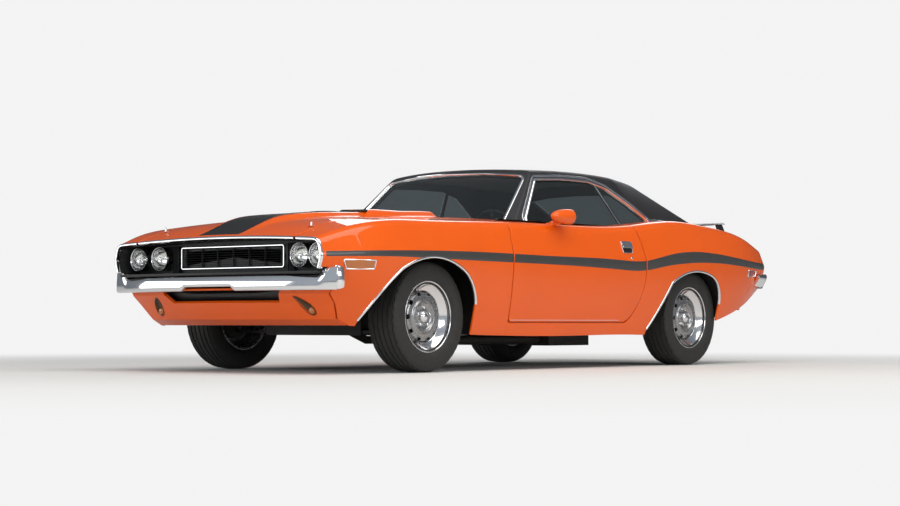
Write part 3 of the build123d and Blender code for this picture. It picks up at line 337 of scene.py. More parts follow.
def rims(faces):
    """Closed boundary loops as lists of vertex numbers, in the faces' own direction."""
    edges = set()
    for f in faces:
        for a, b in zip(f, f[1:] + f[:1]):
            edges.add((a, b))
    nxt = {}
    for a, b in edges:
        if (b, a) not in edges:
            nxt.setdefault(a, []).append(b)
    loops = []
    while nxt:
        start = next(iter(nxt))
        loop, at = [start], start
        while True:
            go = nxt.get(at)
            if not go:
                break
            to = go.pop()
            if not go:
                del nxt[at]
            if to == start:
                break
            loop.append(to)
            at = to
        if len(loop) > 3:
            loops.append(loop)
    return loops


def frame_of(v, n, loop):
    """Points, surface normals and outward directions round a boundary loop."""
    p, m = v[loop], n[loop]
    t = loop_way(p)
    o = unit(np.cross(t, m))
    return p, m, o


def hem(sheet, radius=0.0025, depth=0.012):
    """Rolls a panel's edges over and turns them in, so a gap looks as deep as a real one."""
    v, faces = sheet
    n = normals(v, faces)
    new_v, new_f, count = [v], list(faces), len(v)
    for loop in rims(faces):
        p, m, o = frame_of(v, n, loop)
        rings = [np.array(loop)]
        for a in (35, 65, 90):
            s, c = math.sin(math.radians(a)), math.cos(math.radians(a))
            new_v.append(p + o * radius * s - m * radius * (1 - c))
            rings.append(np.arange(count, count + len(loop)))
            count += len(loop)
        new_v.append(p + o * radius - m * depth)
        rings.append(np.arange(count, count + len(loop)))
        count += len(loop)
        for r0, r1 in zip(rings, rings[1:]):
            for k in range(len(loop)):
                j = (k + 1) % len(loop)
                new_f.append((int(r0[j]), int(r0[k]), int(r1[k]), int(r1[j])))
    return np.concatenate(new_v), new_f


def sweep(p, a, b, profile, closed=False, caps=True):
    """A profile of (a, b) places swept along points p."""
    p, a, b = np.asarray(p, float), np.asarray(a, float), np.asarray(b, float)
    v = np.stack([p + a * x + b * y for x, y in profile], 1)
    rows = len(p)
    if closed:
        v = np.concatenate([v, v[:1]])
    pts, faces = grid(v, wrap=True)
    if not closed and caps:
        m = len(profile)
        faces.append(tuple(range(m)))
        faces.append(tuple((rows - 1) * m + k for k in reversed(range(m))))
    return pts, faces


def revolve(profile, centre, n=96, axis="y", side=1):
    """A (radius, place along the axis) profile turned about Y, or about X."""
    ang = circle(n)
    rows = []
    for r, t in profile:
        c, s, k = r * np.cos(ang), r * np.sin(ang), np.full(n, t * side)
        rows.append(np.stack([c, k, s] if axis == "y" else [k, c, s], 1))
    pts = np.array(rows) + np.array(centre)
    return turned(grid(pts, wrap=True), (axis == "y") == (side > 0))


def upright(sheet, at):
    """A form turned about Y, stood up along Z at a place."""
    return np.asarray(sheet[0])[:, [0, 2, 1]] * (1, -1, 1) + at, sheet[1]


def block(x0, x1, y0, y1, z0, z1, bevel=0.004, seg=2):
    """A box with rounded edges, as (vertices, faces)."""
    bm = bmesh.new()
    bmesh.ops.create_cube(bm, size=1.0)
    for vert in bm.verts:
        vert.co = Vector(((x0 + x1) / 2 + vert.co.x * (x1 - x0), (y0 + y1) / 2 + vert.co.y * (y1 - y0),
                          (z0 + z1) / 2 + vert.co.z * (z1 - z0)))
    bevel = min(bevel, 0.45 * min(abs(x1 - x0), abs(y1 - y0), abs(z1 - z0)))
    bmesh.ops.bevel(bm, geom=list(bm.edges), offset=bevel, segments=seg, affect="EDGES", profile=0.5)
    bm.normal_update()
    out = (np.array([vert.co[:] for vert in bm.verts]),
           [tuple(vert.index for vert in f.verts) for f in bm.faces])
    bm.free()
    return out


def tube(points, radius, n=14, closed=False):
    """A round tube through smooth points; radius may be one value or one per point."""
    p = np.asarray(points, float)
    t = unit(np.gradient(p, axis=0))
    up = np.array([0.0, 0.0, 1.0]) if abs(t[:, 2]).max() < 0.95 else np.array([1.0, 0.0, 0.0])
    a = unit(np.cross(t, up))
    b = np.cross(a, t)
    size = np.broadcast_to(radius, len(p))[:, None]
    ring = [(math.cos(k), math.sin(k)) for k in circle(n)]
    return sweep(p, a * size, b * size, ring, closed)


def smooth_path(points, step=0.01, rounds=2):
    """Points resampled evenly and eased at their corners."""
    p = np.asarray(points, float)
    for _ in range(rounds):
        q = [p[0]]
        for a, b in zip(p, p[1:]):
            q += [a * 0.75 + b * 0.25, a * 0.25 + b * 0.75]
        q.append(p[-1])
        p = np.array(q)
    s = lengths(p)
    k = np.linspace(0, s[-1], max(2, int(s[-1] / step)))
    return np.stack([np.interp(k, s, p[:, i]) for i in range(p.shape[1])], 1)


def polygon(points):
    """A function that gives the signed distance to a closed outline, positive inside."""
    p = np.asarray(points, float)
    q = np.roll(p, -1, 0)

    def field(a, b):
        out = np.full(a.shape, 1e9)
        odd = np.zeros(a.shape, bool)
        for (x0, y0), (x1, y1) in zip(p, q):
            dx, dy = x1 - x0, y1 - y0
            t = np.clip(((a - x0) * dx + (b - y0) * dy) / (dx * dx + dy * dy + 1e-18), 0, 1)
            out = np.minimum(out, np.hypot(a - x0 - t * dx, b - y0 - t * dy))
            if y0 != y1:
                hit = ((y0 > b) != (y1 > b)) & (a < (x1 - x0) * (b - y0) / (y1 - y0) + x0)
                odd ^= hit
        return np.where(odd, out, -out)
    return field


def filleted(points, radius):
    """A closed outline with its corners rounded."""
    p = [np.array(q, float) for q in points]
    out = []
    for i, c in enumerate(p):
        a, b = p[i - 1], p[(i + 1) % len(p)]
        ua, ub = (a - c) / np.linalg.norm(a - c), (b - c) / np.linalg.norm(b - c)
        half = math.acos(max(-1, min(1, float(ua @ ub)))) / 2
        cut = min(radius / max(math.tan(half), 1e-6), 0.45 * np.linalg.norm(a - c),
                  0.45 * np.linalg.norm(b - c))
        s, e = c + ua * cut, c + ub * cut
        for t in np.linspace(0, 1, 7):
            out.append((1 - t) ** 2 * s + 2 * t * (1 - t) * c + t * t * e)
    return np.array(out)


def arc3(a, m, b, n=14):
    """Points on the arc from a to b through m, in a plane."""
    (ax, ay), (bx, by), (cx, cy) = a, m, b
    d = 2 * (ax * (by - cy) + bx * (cy - ay) + cx * (ay - by))
    sa, sb, sc = ax ** 2 + ay ** 2, bx ** 2 + by ** 2, cx ** 2 + cy ** 2
    ux = (sa * (by - cy) + sb * (cy - ay) + sc * (ay - by)) / d
    uy = (sa * (cx - bx) + sb * (ax - cx) + sc * (bx - ax)) / d
    r = math.hypot(ax - ux, ay - uy)
    t0, t1, t2 = (math.atan2(y - uy, x - ux) for x, y in (a, m, b))
    turn = (t2 - t0) % (2 * math.pi)
    if (t1 - t0) % (2 * math.pi) > turn:
        turn -= 2 * math.pi
    return [(ux + r * math.cos(t0 + turn * k), uy + r * math.sin(t0 + turn * k))
            for k in np.linspace(0, 1, n)]


# The body surface below the belt
def natural(x, y, at):
    """Natural cubic spline through (x, y)."""
    n = len(x)
    h = np.diff(x)
    m = np.zeros((n, n))
    rhs = np.zeros(n)
    m[0, 0] = m[-1, -1] = 1
    for i in range(1, n - 1):
        m[i, i - 1:i + 2] = h[i - 1], 2 * (h[i - 1] + h[i]), h[i]
        rhs[i] = 6 * ((y[i + 1] - y[i]) / h[i] - (y[i] - y[i - 1]) / h[i - 1])
    k = np.linalg.solve(m, rhs)
    i = np.clip(np.searchsorted(x, at) - 1, 0, n - 2)
    a, b, hi = x[i + 1] - at, at - x[i], h[i]
    return (k[i] * a ** 3 + k[i + 1] * b ** 3) / (6 * hi) + (y[i] / hi - k[i] * hi / 6) * a + (
        y[i + 1] / hi - k[i + 1] * hi / 6) * b


N_SECTION = 150
XS = np.linspace(TAIL_X, NOSE_X, 300)


def half_sections(xs):
    """Left half sections as (x count, N_SECTION, 2): from the sill's edge to the centre line."""
    sill_in, sill_z, crease_in, crease_z, sh_in, sh_z, crown = (natural(ROWS[:, 0], ROWS[:, k], xs)
                                                                 for k in range(1, 8))
    sill = np.stack([HALF_WIDTH - sill_in, sill_z], 1)
    crease = np.stack([HALF_WIDTH - crease_in, crease_z], 1)
    upper = np.stack([HALF_WIDTH - sh_in + 0.052, sh_z - 0.046], 1)
    peak = np.stack([HALF_WIDTH - sh_in, sh_z], 1)

    def bow(a, b, h, n):
        along = unit(b - a)
        side = np.stack([along[:, 1], -along[:, 0]], 1)
        t = np.linspace(0, 1, n, endpoint=False)[None, :, None]
        height = np.broadcast_to(h, len(a))[:, None, None]
        return a[:, None] + (b - a)[:, None] * t + side[:, None] * height * 4 * t * (1 - t)

    parts = [bow(sill, crease, 0.17 * (sill_in - crease_in), 40), bow(crease, upper, 0, 24),
             bow(upper, peak, 0.012, 12)]
    t = np.linspace(0, 1, 70)[None, :]
    y = peak[:, :1] * (1 - t)
    rise = crown - peak[:, 1]
    rise = np.where(np.abs(rise) < 1e-4, 1e-4, rise)
    radius = ((peak[:, 0] ** 2 + rise ** 2) / (2 * rise))[:, None]
    z = crown[:, None] - (radius - np.sign(radius) * np.sqrt(radius ** 2 - y ** 2))
    parts.append(np.stack([y, z], 2))
    raw = np.concatenate(parts, 1)
    out = np.zeros((len(xs), N_SECTION, 2))
    for i, row in enumerate(raw):
        s = lengths(row)
        k = np.linspace(0, s[-1], N_SECTION)
        out[i, :, 0], out[i, :, 1] = np.interp(k, s, row[:, 0]), np.interp(k, s, row[:, 1])
    for _ in range(2):
        out[:, 1:-1] = (out[:, :-2] + 2 * out[:, 1:-1] + out[:, 2:]) / 4
    return out


HALF = half_sections(XS)
FULL = np.concatenate([HALF, (HALF * (-1, 1))[:, -2::-1]], 1)
BODY_POINTS = np.concatenate([np.repeat(XS[:, None, None], FULL.shape[1], 1), FULL], 2)
BODY = turned(grid(BODY_POINTS))
SIDE_Z = np.linspace(0.2, 0.98, 160)
TOP_Y = np.linspace(0, 0.90, 160)
SIDE_TABLE = np.array([np.interp(SIDE_Z, row[:75, 1], row[:75, 0]) for row in HALF])
TOP_TABLE = np.array([np.interp(TOP_Y, row[60:, 0][::-1], row[60:, 1][::-1]) for row in HALF])


def look_up(table, other, x, w):
    """Bilinear look-up in a table over XS and another axis."""
    x, w = np.asarray(x, float), np.asarray(w, float)
    fx = np.clip((x - XS[0]) / (XS[1] - XS[0]), 0, len(XS) - 1.001)
    fw = np.clip((w - other[0]) / (other[1] - other[0]), 0, len(other) - 1.001)
    i, j = fx.astype(int), fw.astype(int)
    a, b = fx - i, fw - j
    return (table[i, j] * (1 - a) * (1 - b) + table[i + 1, j] * a * (1 - b) + table[i, j + 1] * (1 - a) * b
            + table[i + 1, j + 1] * a * b)


def side_y(x, z):
    """How far out the body's left side is."""
    return look_up(SIDE_TABLE, SIDE_Z, x, z)


def top_z(x, y):
    """How high the body's top is."""
    return look_up(TOP_TABLE, TOP_Y, x, np.abs(y))


def on_side(x, z):
    """Points and outward normals on the left body side."""
    x, z = np.asarray(x, float), np.asarray(z, float)
    y = side_y(x, z)
    e = 0.004
    dydx = (side_y(x + e, z) - side_y(x - e, z)) / (2 * e)
    dydz = (side_y(x, z + e) - side_y(x, z - e)) / (2 * e)
    return np.stack([x, y, z], -1), unit(np.stack([-dydx, np.ones_like(y), -dydz], -1))


def on_top(x, y):
    """Points and outward normals on the body's top."""
    x, y = np.asarray(x, float), np.asarray(y, float)
    z = top_z(x, y)
    e = 0.006
    dzdx = (top_z(x + e, y) - top_z(x - e, y)) / (2 * e)
    dzdy = (top_z(x, y + e) - top_z(x, y - e)) / (2 * e)
    return np.stack([x, y, z], -1), unit(np.stack([-dzdx, -dzdy, np.ones_like(z)], -1))


# Outlines
def door_outline(grow):
    """The door's outline in side view, grown by a gap."""
    front, rear = DOOR_FRONT_X - 0.004 + grow, DOOR_REAR_X - grow
    low, top = DOOR_BOTTOM_Z - grow, BELT_Z + 0.13
    belt, hip, heel = (rear, BELT_Z + 0.025), (rear - 0.105, 0.650), (rear + 0.062, low)
    pts = [(front, top), (front, low + 0.02), (front - 0.006, low + 0.006), (front - 0.02, low),
           (heel[0] + 0.03, low), (heel[0] + 0.012, low + 0.005)]
    pts += arc3((heel[0], low + 0.014), (rear - 0.062, 0.455), hip)
    pts += arc3(hip, (rear - 0.082, 0.790), belt)[1:] + [(rear, top)]
    return pts


FRONT_ARCH = [(575, 150), (565, 300), (480, 465), (350, 595), (60, 667), (-200, 608), (-310, 520),
              (-362, 400), (-362, 150)]
REAR_ARCH = [(610, 150), (572, 245), (442, 405), (330, 556), (60, 638), (-170, 602), (-252, 530), (-282, 420),
             (-262, 150)]


def arch_outline(points, axle):
    """A wheel arch's outline from millimetres round its axle, as three arcs with straight ends."""
    q = [(axle + x / 1000, z / 1000) for x, z in points]
    out = [q[0]]
    for i in (1, 3, 5):
        out += arc3(q[i], q[i + 1], q[i + 2])
    return np.array(out + [q[8]])


F_ARCH, R_ARCH = arch_outline(FRONT_ARCH, FRONT_AXLE_X), arch_outline(REAR_ARCH, REAR_AXLE_X)
door_in = polygon(door_outline(0))
door_out = polygon(door_outline(GAP))
front_arch, rear_arch = polygon(F_ARCH), polygon(R_ARCH)


def side_only(field):
    """A field that only applies to the left body side."""
    return lambda v: np.where(v[:, 1] > 0.5, field(v[:, 0], v[:, 2]), 1.0)


def above(axis, value):
    """A field that is positive above a value along an axis."""
    return lambda v: v[:, axis] - value


def below(axis, value):
    """A field that is positive below a value along an axis."""
    return lambda v: value - v[:, axis]


def cut(sheet, *fields):
    """The part of a sheet where every field is positive."""
    for field in fields:
        sheet = clip(sheet, field)
    return sheet


# Painted panels
# The rolled edge stands out by this much past the cut
R0 = 0.0025
CABIN_IN = polygon([(0.60, 0.0), (0.40, 0.66), (-0.30, 0.745), (-0.96, 0.725), (-1.86, 0.575), (-1.90, 0.0),
                    (-1.86, -0.575), (-0.96, -0.725), (-0.30, -0.745), (0.40, -0.66)])


def outside_cabin(v):
    """Keeps the body's top outside the cabin."""
    return np.where(v[:, 2] > 0.80, -CABIN_IN(v[:, 0], v[:, 1]), 1.0)


def trimmed(x0=None, x1=None, y0=None, y1=None, *more):
    """The body surface between limits that allow for the rolled edge."""
    fields = []
    for axis, low, high in ((0, x0, x1), (1, y0, y1)):
        if low is not None:
            fields.append(above(axis, low + R0))
        if high is not None:
            fields.append(below(axis, high - R0))
    return cut(BODY, *fields, *more)


def pair(name, sheet, mat, bodies, nodes=None, slot="paint", **more):
    """A left piece and its mirror image. bodies and nodes are the left names; right ones follow."""
    left = make(name + "_left", *sheet, mat, bodies, [nodes] if nodes else (), slot, **more)
    right = make(name + "_right", *flipped(sheet), mat, bodies.replace("left", "right"),
                 [nodes.replace("left", "right")] if nodes else (), slot, **more)
    return left, right


# The raked front below the bumper, from the top down: place along the car, height
LOW_FRONT = np.array([(NOSE_X + 0.004, 0.544), (NOSE_X - 0.016, 0.450), (NOSE_X - 0.068, 0.400),
                      (NOSE_X - 0.140, 0.310), (NOSE_X - 0.230, 0.268)])
VALANCE_TOP, LOW_RADIUS = 0.484, 3.6


def low_front_x(y, z):
    """Where the raked lower front's face is."""
    face = np.interp(z, LOW_FRONT[::-1, 1], LOW_FRONT[::-1, 0])
    return face - LOW_RADIUS + np.sqrt(LOW_RADIUS ** 2 - y ** 2)


def behind_low_front(v):
    """Behind the raked lower front, or above it."""
    return np.maximum(low_front_x(v[:, 1], v[:, 2]) - v[:, 0] - R0, v[:, 2] - VALANCE_TOP)


def beside_hood(v):
    """Left of the hood's seam, or tucked in below it."""
    return np.maximum(v[:, 1] - HOOD_HALF - 0.004 - R0, np.minimum(0.60 - v[:, 2], v[:, 1] - 0.30))


BUMPER_RADIUS, BUMPER_DEEP = 3.3, 0.036


def behind_bumper(v):
    """Behind the front bumper's back, or above its upturned ends."""
    back = FRONT_X - BUMPER_RADIUS + np.sqrt(BUMPER_RADIUS ** 2 - v[:, 1] ** 2) - BUMPER_DEEP
    return np.maximum(back - v[:, 0], v[:, 2] - 0.600)


fender_raw = trimmed(DOOR_FRONT_X + 0.004, NOSE_X, None, None, beside_hood, behind_low_front, behind_bumper,
                     side_only(lambda x, z: -front_arch(x, z) - R0))
fender = hem(fender_raw)
pair("fender_skin", fender, PAINT, "chassis", "fender_left")

door_raw = trimmed(DOOR_REAR_X - 0.2, DOOR_FRONT_X, 0.5, None, side_only(lambda x, z: door_in(x, z) - R0),
                   outside_cabin, lambda v: v[:, 1] - 0.775)
door = hem(door_raw)

quarter_raw = trimmed(TAIL_X - 0.01, DOOR_FRONT_X + 0.0037, DECK_HALF + 0.004, None,
                      side_only(lambda x, z: -door_out(x, z) - R0),
                      side_only(lambda x, z: -rear_arch(x, z) - R0), outside_cabin)
quarter = hem(quarter_raw)
pair("quarter_skin", quarter, PAINT, "chassis", "quarter_left")

cowl = hem(trimmed(0.25, DOOR_FRONT_X - 0.004, -0.757, 0.757, above(2, 0.8), outside_cabin))
make("cowl_skin", *cowl, PAINT, "chassis", ["cowl"], "paint")
rear_deck = hem(trimmed(DECK_FRONT_X + 0.004, -1.45, -DECK_HALF - 0.0037, DECK_HALF + 0.0037, above(2, 0.8),
                        outside_cabin))
make("rear_deck_skin", *rear_deck, PAINT, "chassis", ["rear_deck"], "paint")
SHELF_X, SHELF_HALF = (DECK_FRONT_X + 0.004, REAR_AXLE_X - 0.150), 0.590
decklid = hem(trimmed(TAIL_X + 0.002, DECK_FRONT_X - 0.004, -DECK_HALF + 0.004, DECK_HALF - 0.004,
                      above(2, 0.8)))
make("decklid_skin", *decklid, PAINT, "decklid", ["decklid"], "paint")


# The hood: raised centre, two scoops, black band
def ease(t):
    """A smooth step from 0 to 1."""
    t = np.clip(t, 0, 1)
    return t * t * (3 - 2 * t)


SCOOP_Y, SCOOP_HALF, SCOOP_RISE = 0.205, 0.105, 0.015


def hood_rise(x, y):
    """How far the hood's raised centre stands over the body's crown."""
    along = ease((NOSE_X - 0.06 - x) / 0.34)
    half = 0.25 + 0.10 * ease((NOSE_X - 0.33 - x) / 0.4)
    across = 1 - ease((np.abs(y) - (half - 0.075)) / 0.075)
    rise = 0.026 + 0.008 * ease((1.66 - x) / 0.9)
    scoop = 0.0
    for s in (1, -1):
        a = (FRONT_AXLE_X - 0.06 - x)
        front = ease((a + 0.001) / 0.012)
        fall = 1 - ease((a - 0.06) / 0.36)
        side = 1 - ease((np.abs(y - s * SCOOP_Y) - SCOOP_HALF) / 0.022)
        scoop = scoop + SCOOP_RISE * front * fall * side
    return along * across * rise + scoop


def raised(sheet, rise):
    """A sheet lifted by rise(x, y)."""
    v, faces = sheet
    v = v.copy()
    v[:, 2] += rise(v[:, 0], v[:, 1])
    return v, faces


def fine_top(x0, x1, y0, y1, step):
    """A finer grid of the body's top."""
    xs, ys = np.arange(x0, x1 + step / 2, step), np.arange(y0, y1 + step / 2, step)
    gx, gy = np.meshgrid(xs, ys, indexing="ij")
    pts, _ = on_top(gx, gy)
    return grid(pts)


hood_half = HOOD_HALF - 0.004
hood_sheet = fine_top(DOOR_FRONT_X + 0.004 + R0, NOSE_X - 0.004 - R0, -hood_half + R0, hood_half - R0, 0.0093)
hood_up = raised(hood_sheet, hood_rise)
make("hood_skin", *hem(hood_up), PAINT, "hood", ["hood"], "paint", sharp=60)


def band_field(v):
    """Positive inside the black band down the middle of the hood."""
    return 0.165 - np.abs(v[:, 1])


band = cut(hood_up, band_field, below(0, NOSE_X - 0.03))
bn = normals(*band)
make("hood_band", *hem((band[0] + bn * 0.0005, band[1]), 0.0003, 0.0004), BLACK, "hood", slot="black_trim",
     sharp=60)
for s, tag in SIDES:
    x1, y1 = FRONT_AXLE_X - 0.056, s * SCOOP_Y
    z0 = float(top_z(x1, SCOOP_Y)) + 0.030
    mouth = block(x1 - 0.02, x1 + 0.004, y1 - SCOOP_HALF, y1 + SCOOP_HALF, z0 - 0.004, z0 + 0.0115, 0.005, 3)
    make("hood_scoop_mouth_" + tag, *mouth, TRIM, "hood", slot="black_trim")
    px, py = NOSE_X - 0.175, s * 0.60
    pz = float(top_z(px, py))
    post = join(revolve([(0.0, 0.001), (0.016, 0.001), (0.017, 0.003), (0.015, 0.005), (0.0, 0.006)],
                        (0, 0, 0), 28),
                revolve([(0.0045, 0.004), (0.0045, 0.026), (0.0035, 0.029), (0.0, 0.030)], (0, 0, 0), 20))
    make("hood_pin_" + tag, *upright(post, (px, py, pz)), CHROME, "hood", slot="chrome")


# Door: skin, inner shell and edges
def offset(sheet, by):
    """A sheet moved out along its normals."""
    v, faces = sheet
    return v + normals(v, faces) * by, faces


DOOR_INNER_Y = 0.7665


def door_inner():
    """The door's inner side with its pocket; the armrest is made apart from it."""
    x0, x1 = DOOR_REAR_X + 0.024, DOOR_FRONT_X - 0.012
    pts = [(x1, 0.93), (x1, 0.305), (DOOR_REAR_X + 0.09, 0.305), (DOOR_REAR_X - 0.036, 0.47),
           (DOOR_REAR_X - 0.076, 0.65), (DOOR_REAR_X - 0.052, 0.79), (x0, 0.93)]
    line = filleted(pts, 0.03)
    inner_y = DOOR_INNER_Y
    mid = line.mean(0)
    rows = []
    for share, y in ((1.0, 0.80), (1.0, inner_y + 0.012), (0.992, inner_y + 0.003), (0.975, inner_y),
                     (0.82, inner_y), (0.79, inner_y + 0.01), (0.4, inner_y + 0.014), (0.02, inner_y + 0.014)):
        rows.append(np.stack([mid[0] + (line[:, 0] - mid[0]) * share, np.full(len(line), y),
                              mid[1] + (line[:, 1] - mid[1]) * share], 1))
    v, faces = grid(np.array(rows), wrap=True)
    faces.append(tuple(range((len(rows) - 1) * len(line), len(rows) * len(line))))
    return v, faces


def wall_between(raw, inner_y):
    """Closes the door between its skin's edge and its inner side."""
    v, faces = raw
    n = normals(v, faces)
    loop = max(rims(faces), key=len)
    p, m, o = frame_of(v, n, loop)
    a = p + o * R0 - m * 0.011
    mid = np.array([(a[:, 0].max() + a[:, 0].min()) / 2, (a[:, 2].max() + a[:, 2].min()) / 2])
    rows = [a]
    for y, inset in ((None, 0.024), (inner_y + 0.02, 0.026), (inner_y, 0.03)):
        b = a.copy()
        way = unit(mid - b[:, [0, 2]])
        b[:, 0] += way[:, 0] * inset
        b[:, 2] += way[:, 1] * inset * 0.6
        if y is not None:
            b[:, 1] = np.minimum(b[:, 1], y)
        rows.append(b)
    return grid(np.array(rows), wrap=True)


door_shell = join(door, wall_between(door_raw, 0.769))
pair("door_skin", door_shell, PAINT, "door_left", "door_left")
pair("door_panel", door_inner(), SEAT, "door_left", slot="interior")
armrest = block(-0.25, 0.25, 0.722, 0.768, 0.56, 0.605, 0.018, 4)
pair("door_armrest", armrest, SEAT, "door_left", slot="interior")

# Stripe along the side, and the bright line low on the door
STRIPE_X = np.array([-3.75, -3.62, -3.17, -2.61, -2.36, -2.13, -1.83, -1.17, -0.3, 0.4, 0.98]) + FRONT_AXLE_X
STRIPE_TOP = np.array([.722, .726, .757, .771, .738, .700, .700, .706, .712, .700, .682])
STRIPE_LOW = np.array([.675, .679, .700, .694, .668, .637, .637, .653, .660, .665, .655])
st = np.linspace(STRIPE_X[0], STRIPE_X[-1], 200)
st_top, st_low = natural(STRIPE_X, STRIPE_TOP, st), natural(STRIPE_X, STRIPE_LOW, st)


def stripe_field(v):
    """Positive inside the side stripe."""
    hi, lo = np.interp(v[:, 0], st, st_top), np.interp(v[:, 0], st, st_low)
    inside = np.minimum(hi - v[:, 2], v[:, 2] - lo)
    return np.where(v[:, 1] > 0.6, inside, -1.0)


for name, raw, body_name in (("fender", fender_raw, "chassis"), ("door", door_raw, "door_left"),
                             ("quarter", quarter_raw, "chassis")):
    strip = cut(raw, stripe_field, below(0, NOSE_X - 0.02), above(0, TAIL_X + 0.012))
    pair("stripe_" + name, hem(offset(strip, 0.0004), 0.0002, 0.0003), STRIPE, body_name, slot="black_trim")
low_x = np.linspace(DOOR_REAR_X + 0.16, DOOR_FRONT_X - 0.02, 120)
p, n = on_side(low_x, np.full_like(low_x, DOOR_BOTTOM_Z + 0.010))
up = unit(np.cross(np.gradient(p, axis=0), n))
line = sweep(p, up, n, [(-0.0018, 0.0), (-0.0012, 0.0012), (0.0012, 0.0012), (0.0018, 0.0)])
pair("door_low_line", line, CHROME, "door_left", slot="chrome")


# Wheel-arch lips
def arch_lip(outline, name):
    """The bright lip along a wheel arch."""
    line = smooth_path(outline[1:-1], 0.008, 1)
    p, n = on_side(line[:, 0], line[:, 1])
    t = unit(np.gradient(p, axis=0))
    out = unit(np.cross(n, t))
    mid = np.array([line[:, 0].mean(), 0.35])
    if ((p[40][[0, 2]] - mid) @ out[40][[0, 2]]) < 0:
        out = -out
    prof = [(-0.003, -0.010), (-0.003, 0.001), (0.000, 0.004), (0.007, 0.0045), (0.011, 0.002),
            (0.012, -0.001)]
    pair("arch_lip_" + name, sweep(p, out, n, prof), CHROME, "chassis", slot="chrome", sharp=50)


arch_lip(F_ARCH, "front")
arch_lip(R_ARCH, "rear")


# The cabin above the belt
LOW = dict(z=0.945, corner=(0.430, 0.715), side=(-0.300, 0.795), hip=(-0.960, 0.775), tail=(-1.900, 0.622),
           screen_x=0.625, back_x=-1.935)
HIGH = dict(z=1.250, corner=(0.125, 0.592), side=(-0.330, 0.622), hip=(-0.800, 0.606), tail=(-1.130, 0.505),
            screen_x=0.250, back_x=-1.165)
Z_A, Z_B = LOW["z"] - 0.120, HIGH["z"] + 0.110


def cabin_ring(z):
    """Left half ring of the cabin at a height, from the windscreen's middle to the rear window's."""
    s = (z - LOW["z"]) / (HIGH["z"] - LOW["z"])

    def at(k):
        a, b = np.array(LOW[k], float), np.array(HIGH[k], float)
        return a + s * (b - a)
    c, m, h, t = at("corner"), at("side"), at("hip"), at("tail")
    front = arc3((c[0], -c[1]), (float(at("screen_x")), 0), c, 121)[60:]
    side = arc3(c, m, h, 150)[1:]
    flat = [tuple(h + (t - h) * k) for k in np.linspace(0, 1, 80)[1:]]
    back = arc3(t, (float(at("back_x")), 0), (t[0], -t[1]), 121)[1:61]
    return np.array(front + side + flat + back)


ROOF_ALONG_R, ROOF_ACROSS_R, ROOF_PEAK_X = 7.6, 6.0, -0.38


def dome(x, y):
    """The roof's height: an arc along the car, carried across by another."""
    long = ROOF_TOP - (ROOF_ALONG_R - np.sqrt(ROOF_ALONG_R ** 2 - (x - ROOF_PEAK_X) ** 2))
    axis = ROOF_TOP - ROOF_ACROSS_R
    return axis + np.sqrt((long - axis) ** 2 - y ** 2)


RING_A, RING_B = cabin_ring(Z_A), cabin_ring(Z_B)


def wall_at(z):
    """The cabin's ring at one height for each of its columns."""
    s = ((z - Z_A) / (Z_B - Z_A))[:, None]
    return RING_A * (1 - s) + RING_B * s


lo_z, hi_z = np.full(len(RING_A), 1.1), np.full(len(RING_A), Z_B)
for _ in range(40):
    mid_z = (lo_z + hi_z) / 2
    w = wall_at(mid_z)
    under = mid_z < dome(w[:, 0], w[:, 1])
    lo_z, hi_z = np.where(under, mid_z, lo_z), np.where(under, hi_z, mid_z)
RIM_Z = lo_z
RIM = wall_at(RIM_Z)


# Rows of the cabin's grid, and how often they are eased, which rounds the roof's edge
CABIN_ROWS, CABIN_EASE = 170, 36


def cabin_rows(n_wall=90, n_top=70):
    """Rows of the cabin's left half: up the wall, round the edge and over the roof."""
    rows = []
    for k in np.linspace(0, 1, n_wall):
        z = 0.88 + (RIM_Z - 0.88) * k
        w = wall_at(z)
        rows.append(np.stack([w[:, 0], w[:, 1], z], 1))
    centre_x = np.clip(RIM[:, 0], -1.02, 0.10)
    for k in np.linspace(0, 1, n_top)[1:]:
        x, y = RIM[:, 0] + (centre_x - RIM[:, 0]) * k, RIM[:, 1] * (1 - k)
        rows.append(np.stack([x, y, dome(x, y)], 1))
    p = np.array(rows)
    out = np.zeros((CABIN_ROWS,) + p.shape[1:])
    for j in range(p.shape[1]):
        s = lengths(p[:, j])
        k = np.linspace(0, s[-1], CABIN_ROWS)
        for a in range(3):
            out[:, j, a] = np.interp(k, s, p[:, j, a])
    for _ in range(CABIN_EASE):
        out[1:-1] = (out[:-2] + 2 * out[1:-1] + out[2:]) / 4
    return out


def welded(sheet, dist=1e-5):
    """A sheet with its double points joined."""
    v, faces = sheet
    key = np.round(v / dist).astype(np.int64)
    _, first, inverse = np.unique(key, axis=0, return_index=True, return_inverse=True)
    inverse = inverse.reshape(-1)
    out = []
    for f in faces:
        g = [int(inverse[i]) for i in f]
        g = [a for a, b in zip(g, g[1:] + g[:1]) if a != b]
        if len(g) >= 3 and len(set(g)) == len(g):
            out.append(tuple(g))
    return v[first], out


def cabin(points, rows, columns):
    """The cabin's outer sheet, from some of the rows and columns of its left half."""
    picked = [np.linspace(0, n - 1, m).round().astype(int) for n, m in zip(points.shape, (rows, columns))]
    half = grid(points[picked[0]][:, picked[1]])
    half = facing(half, len(half[0]) // 6, 1, 1)
    return welded(join(half, flipped(half)))


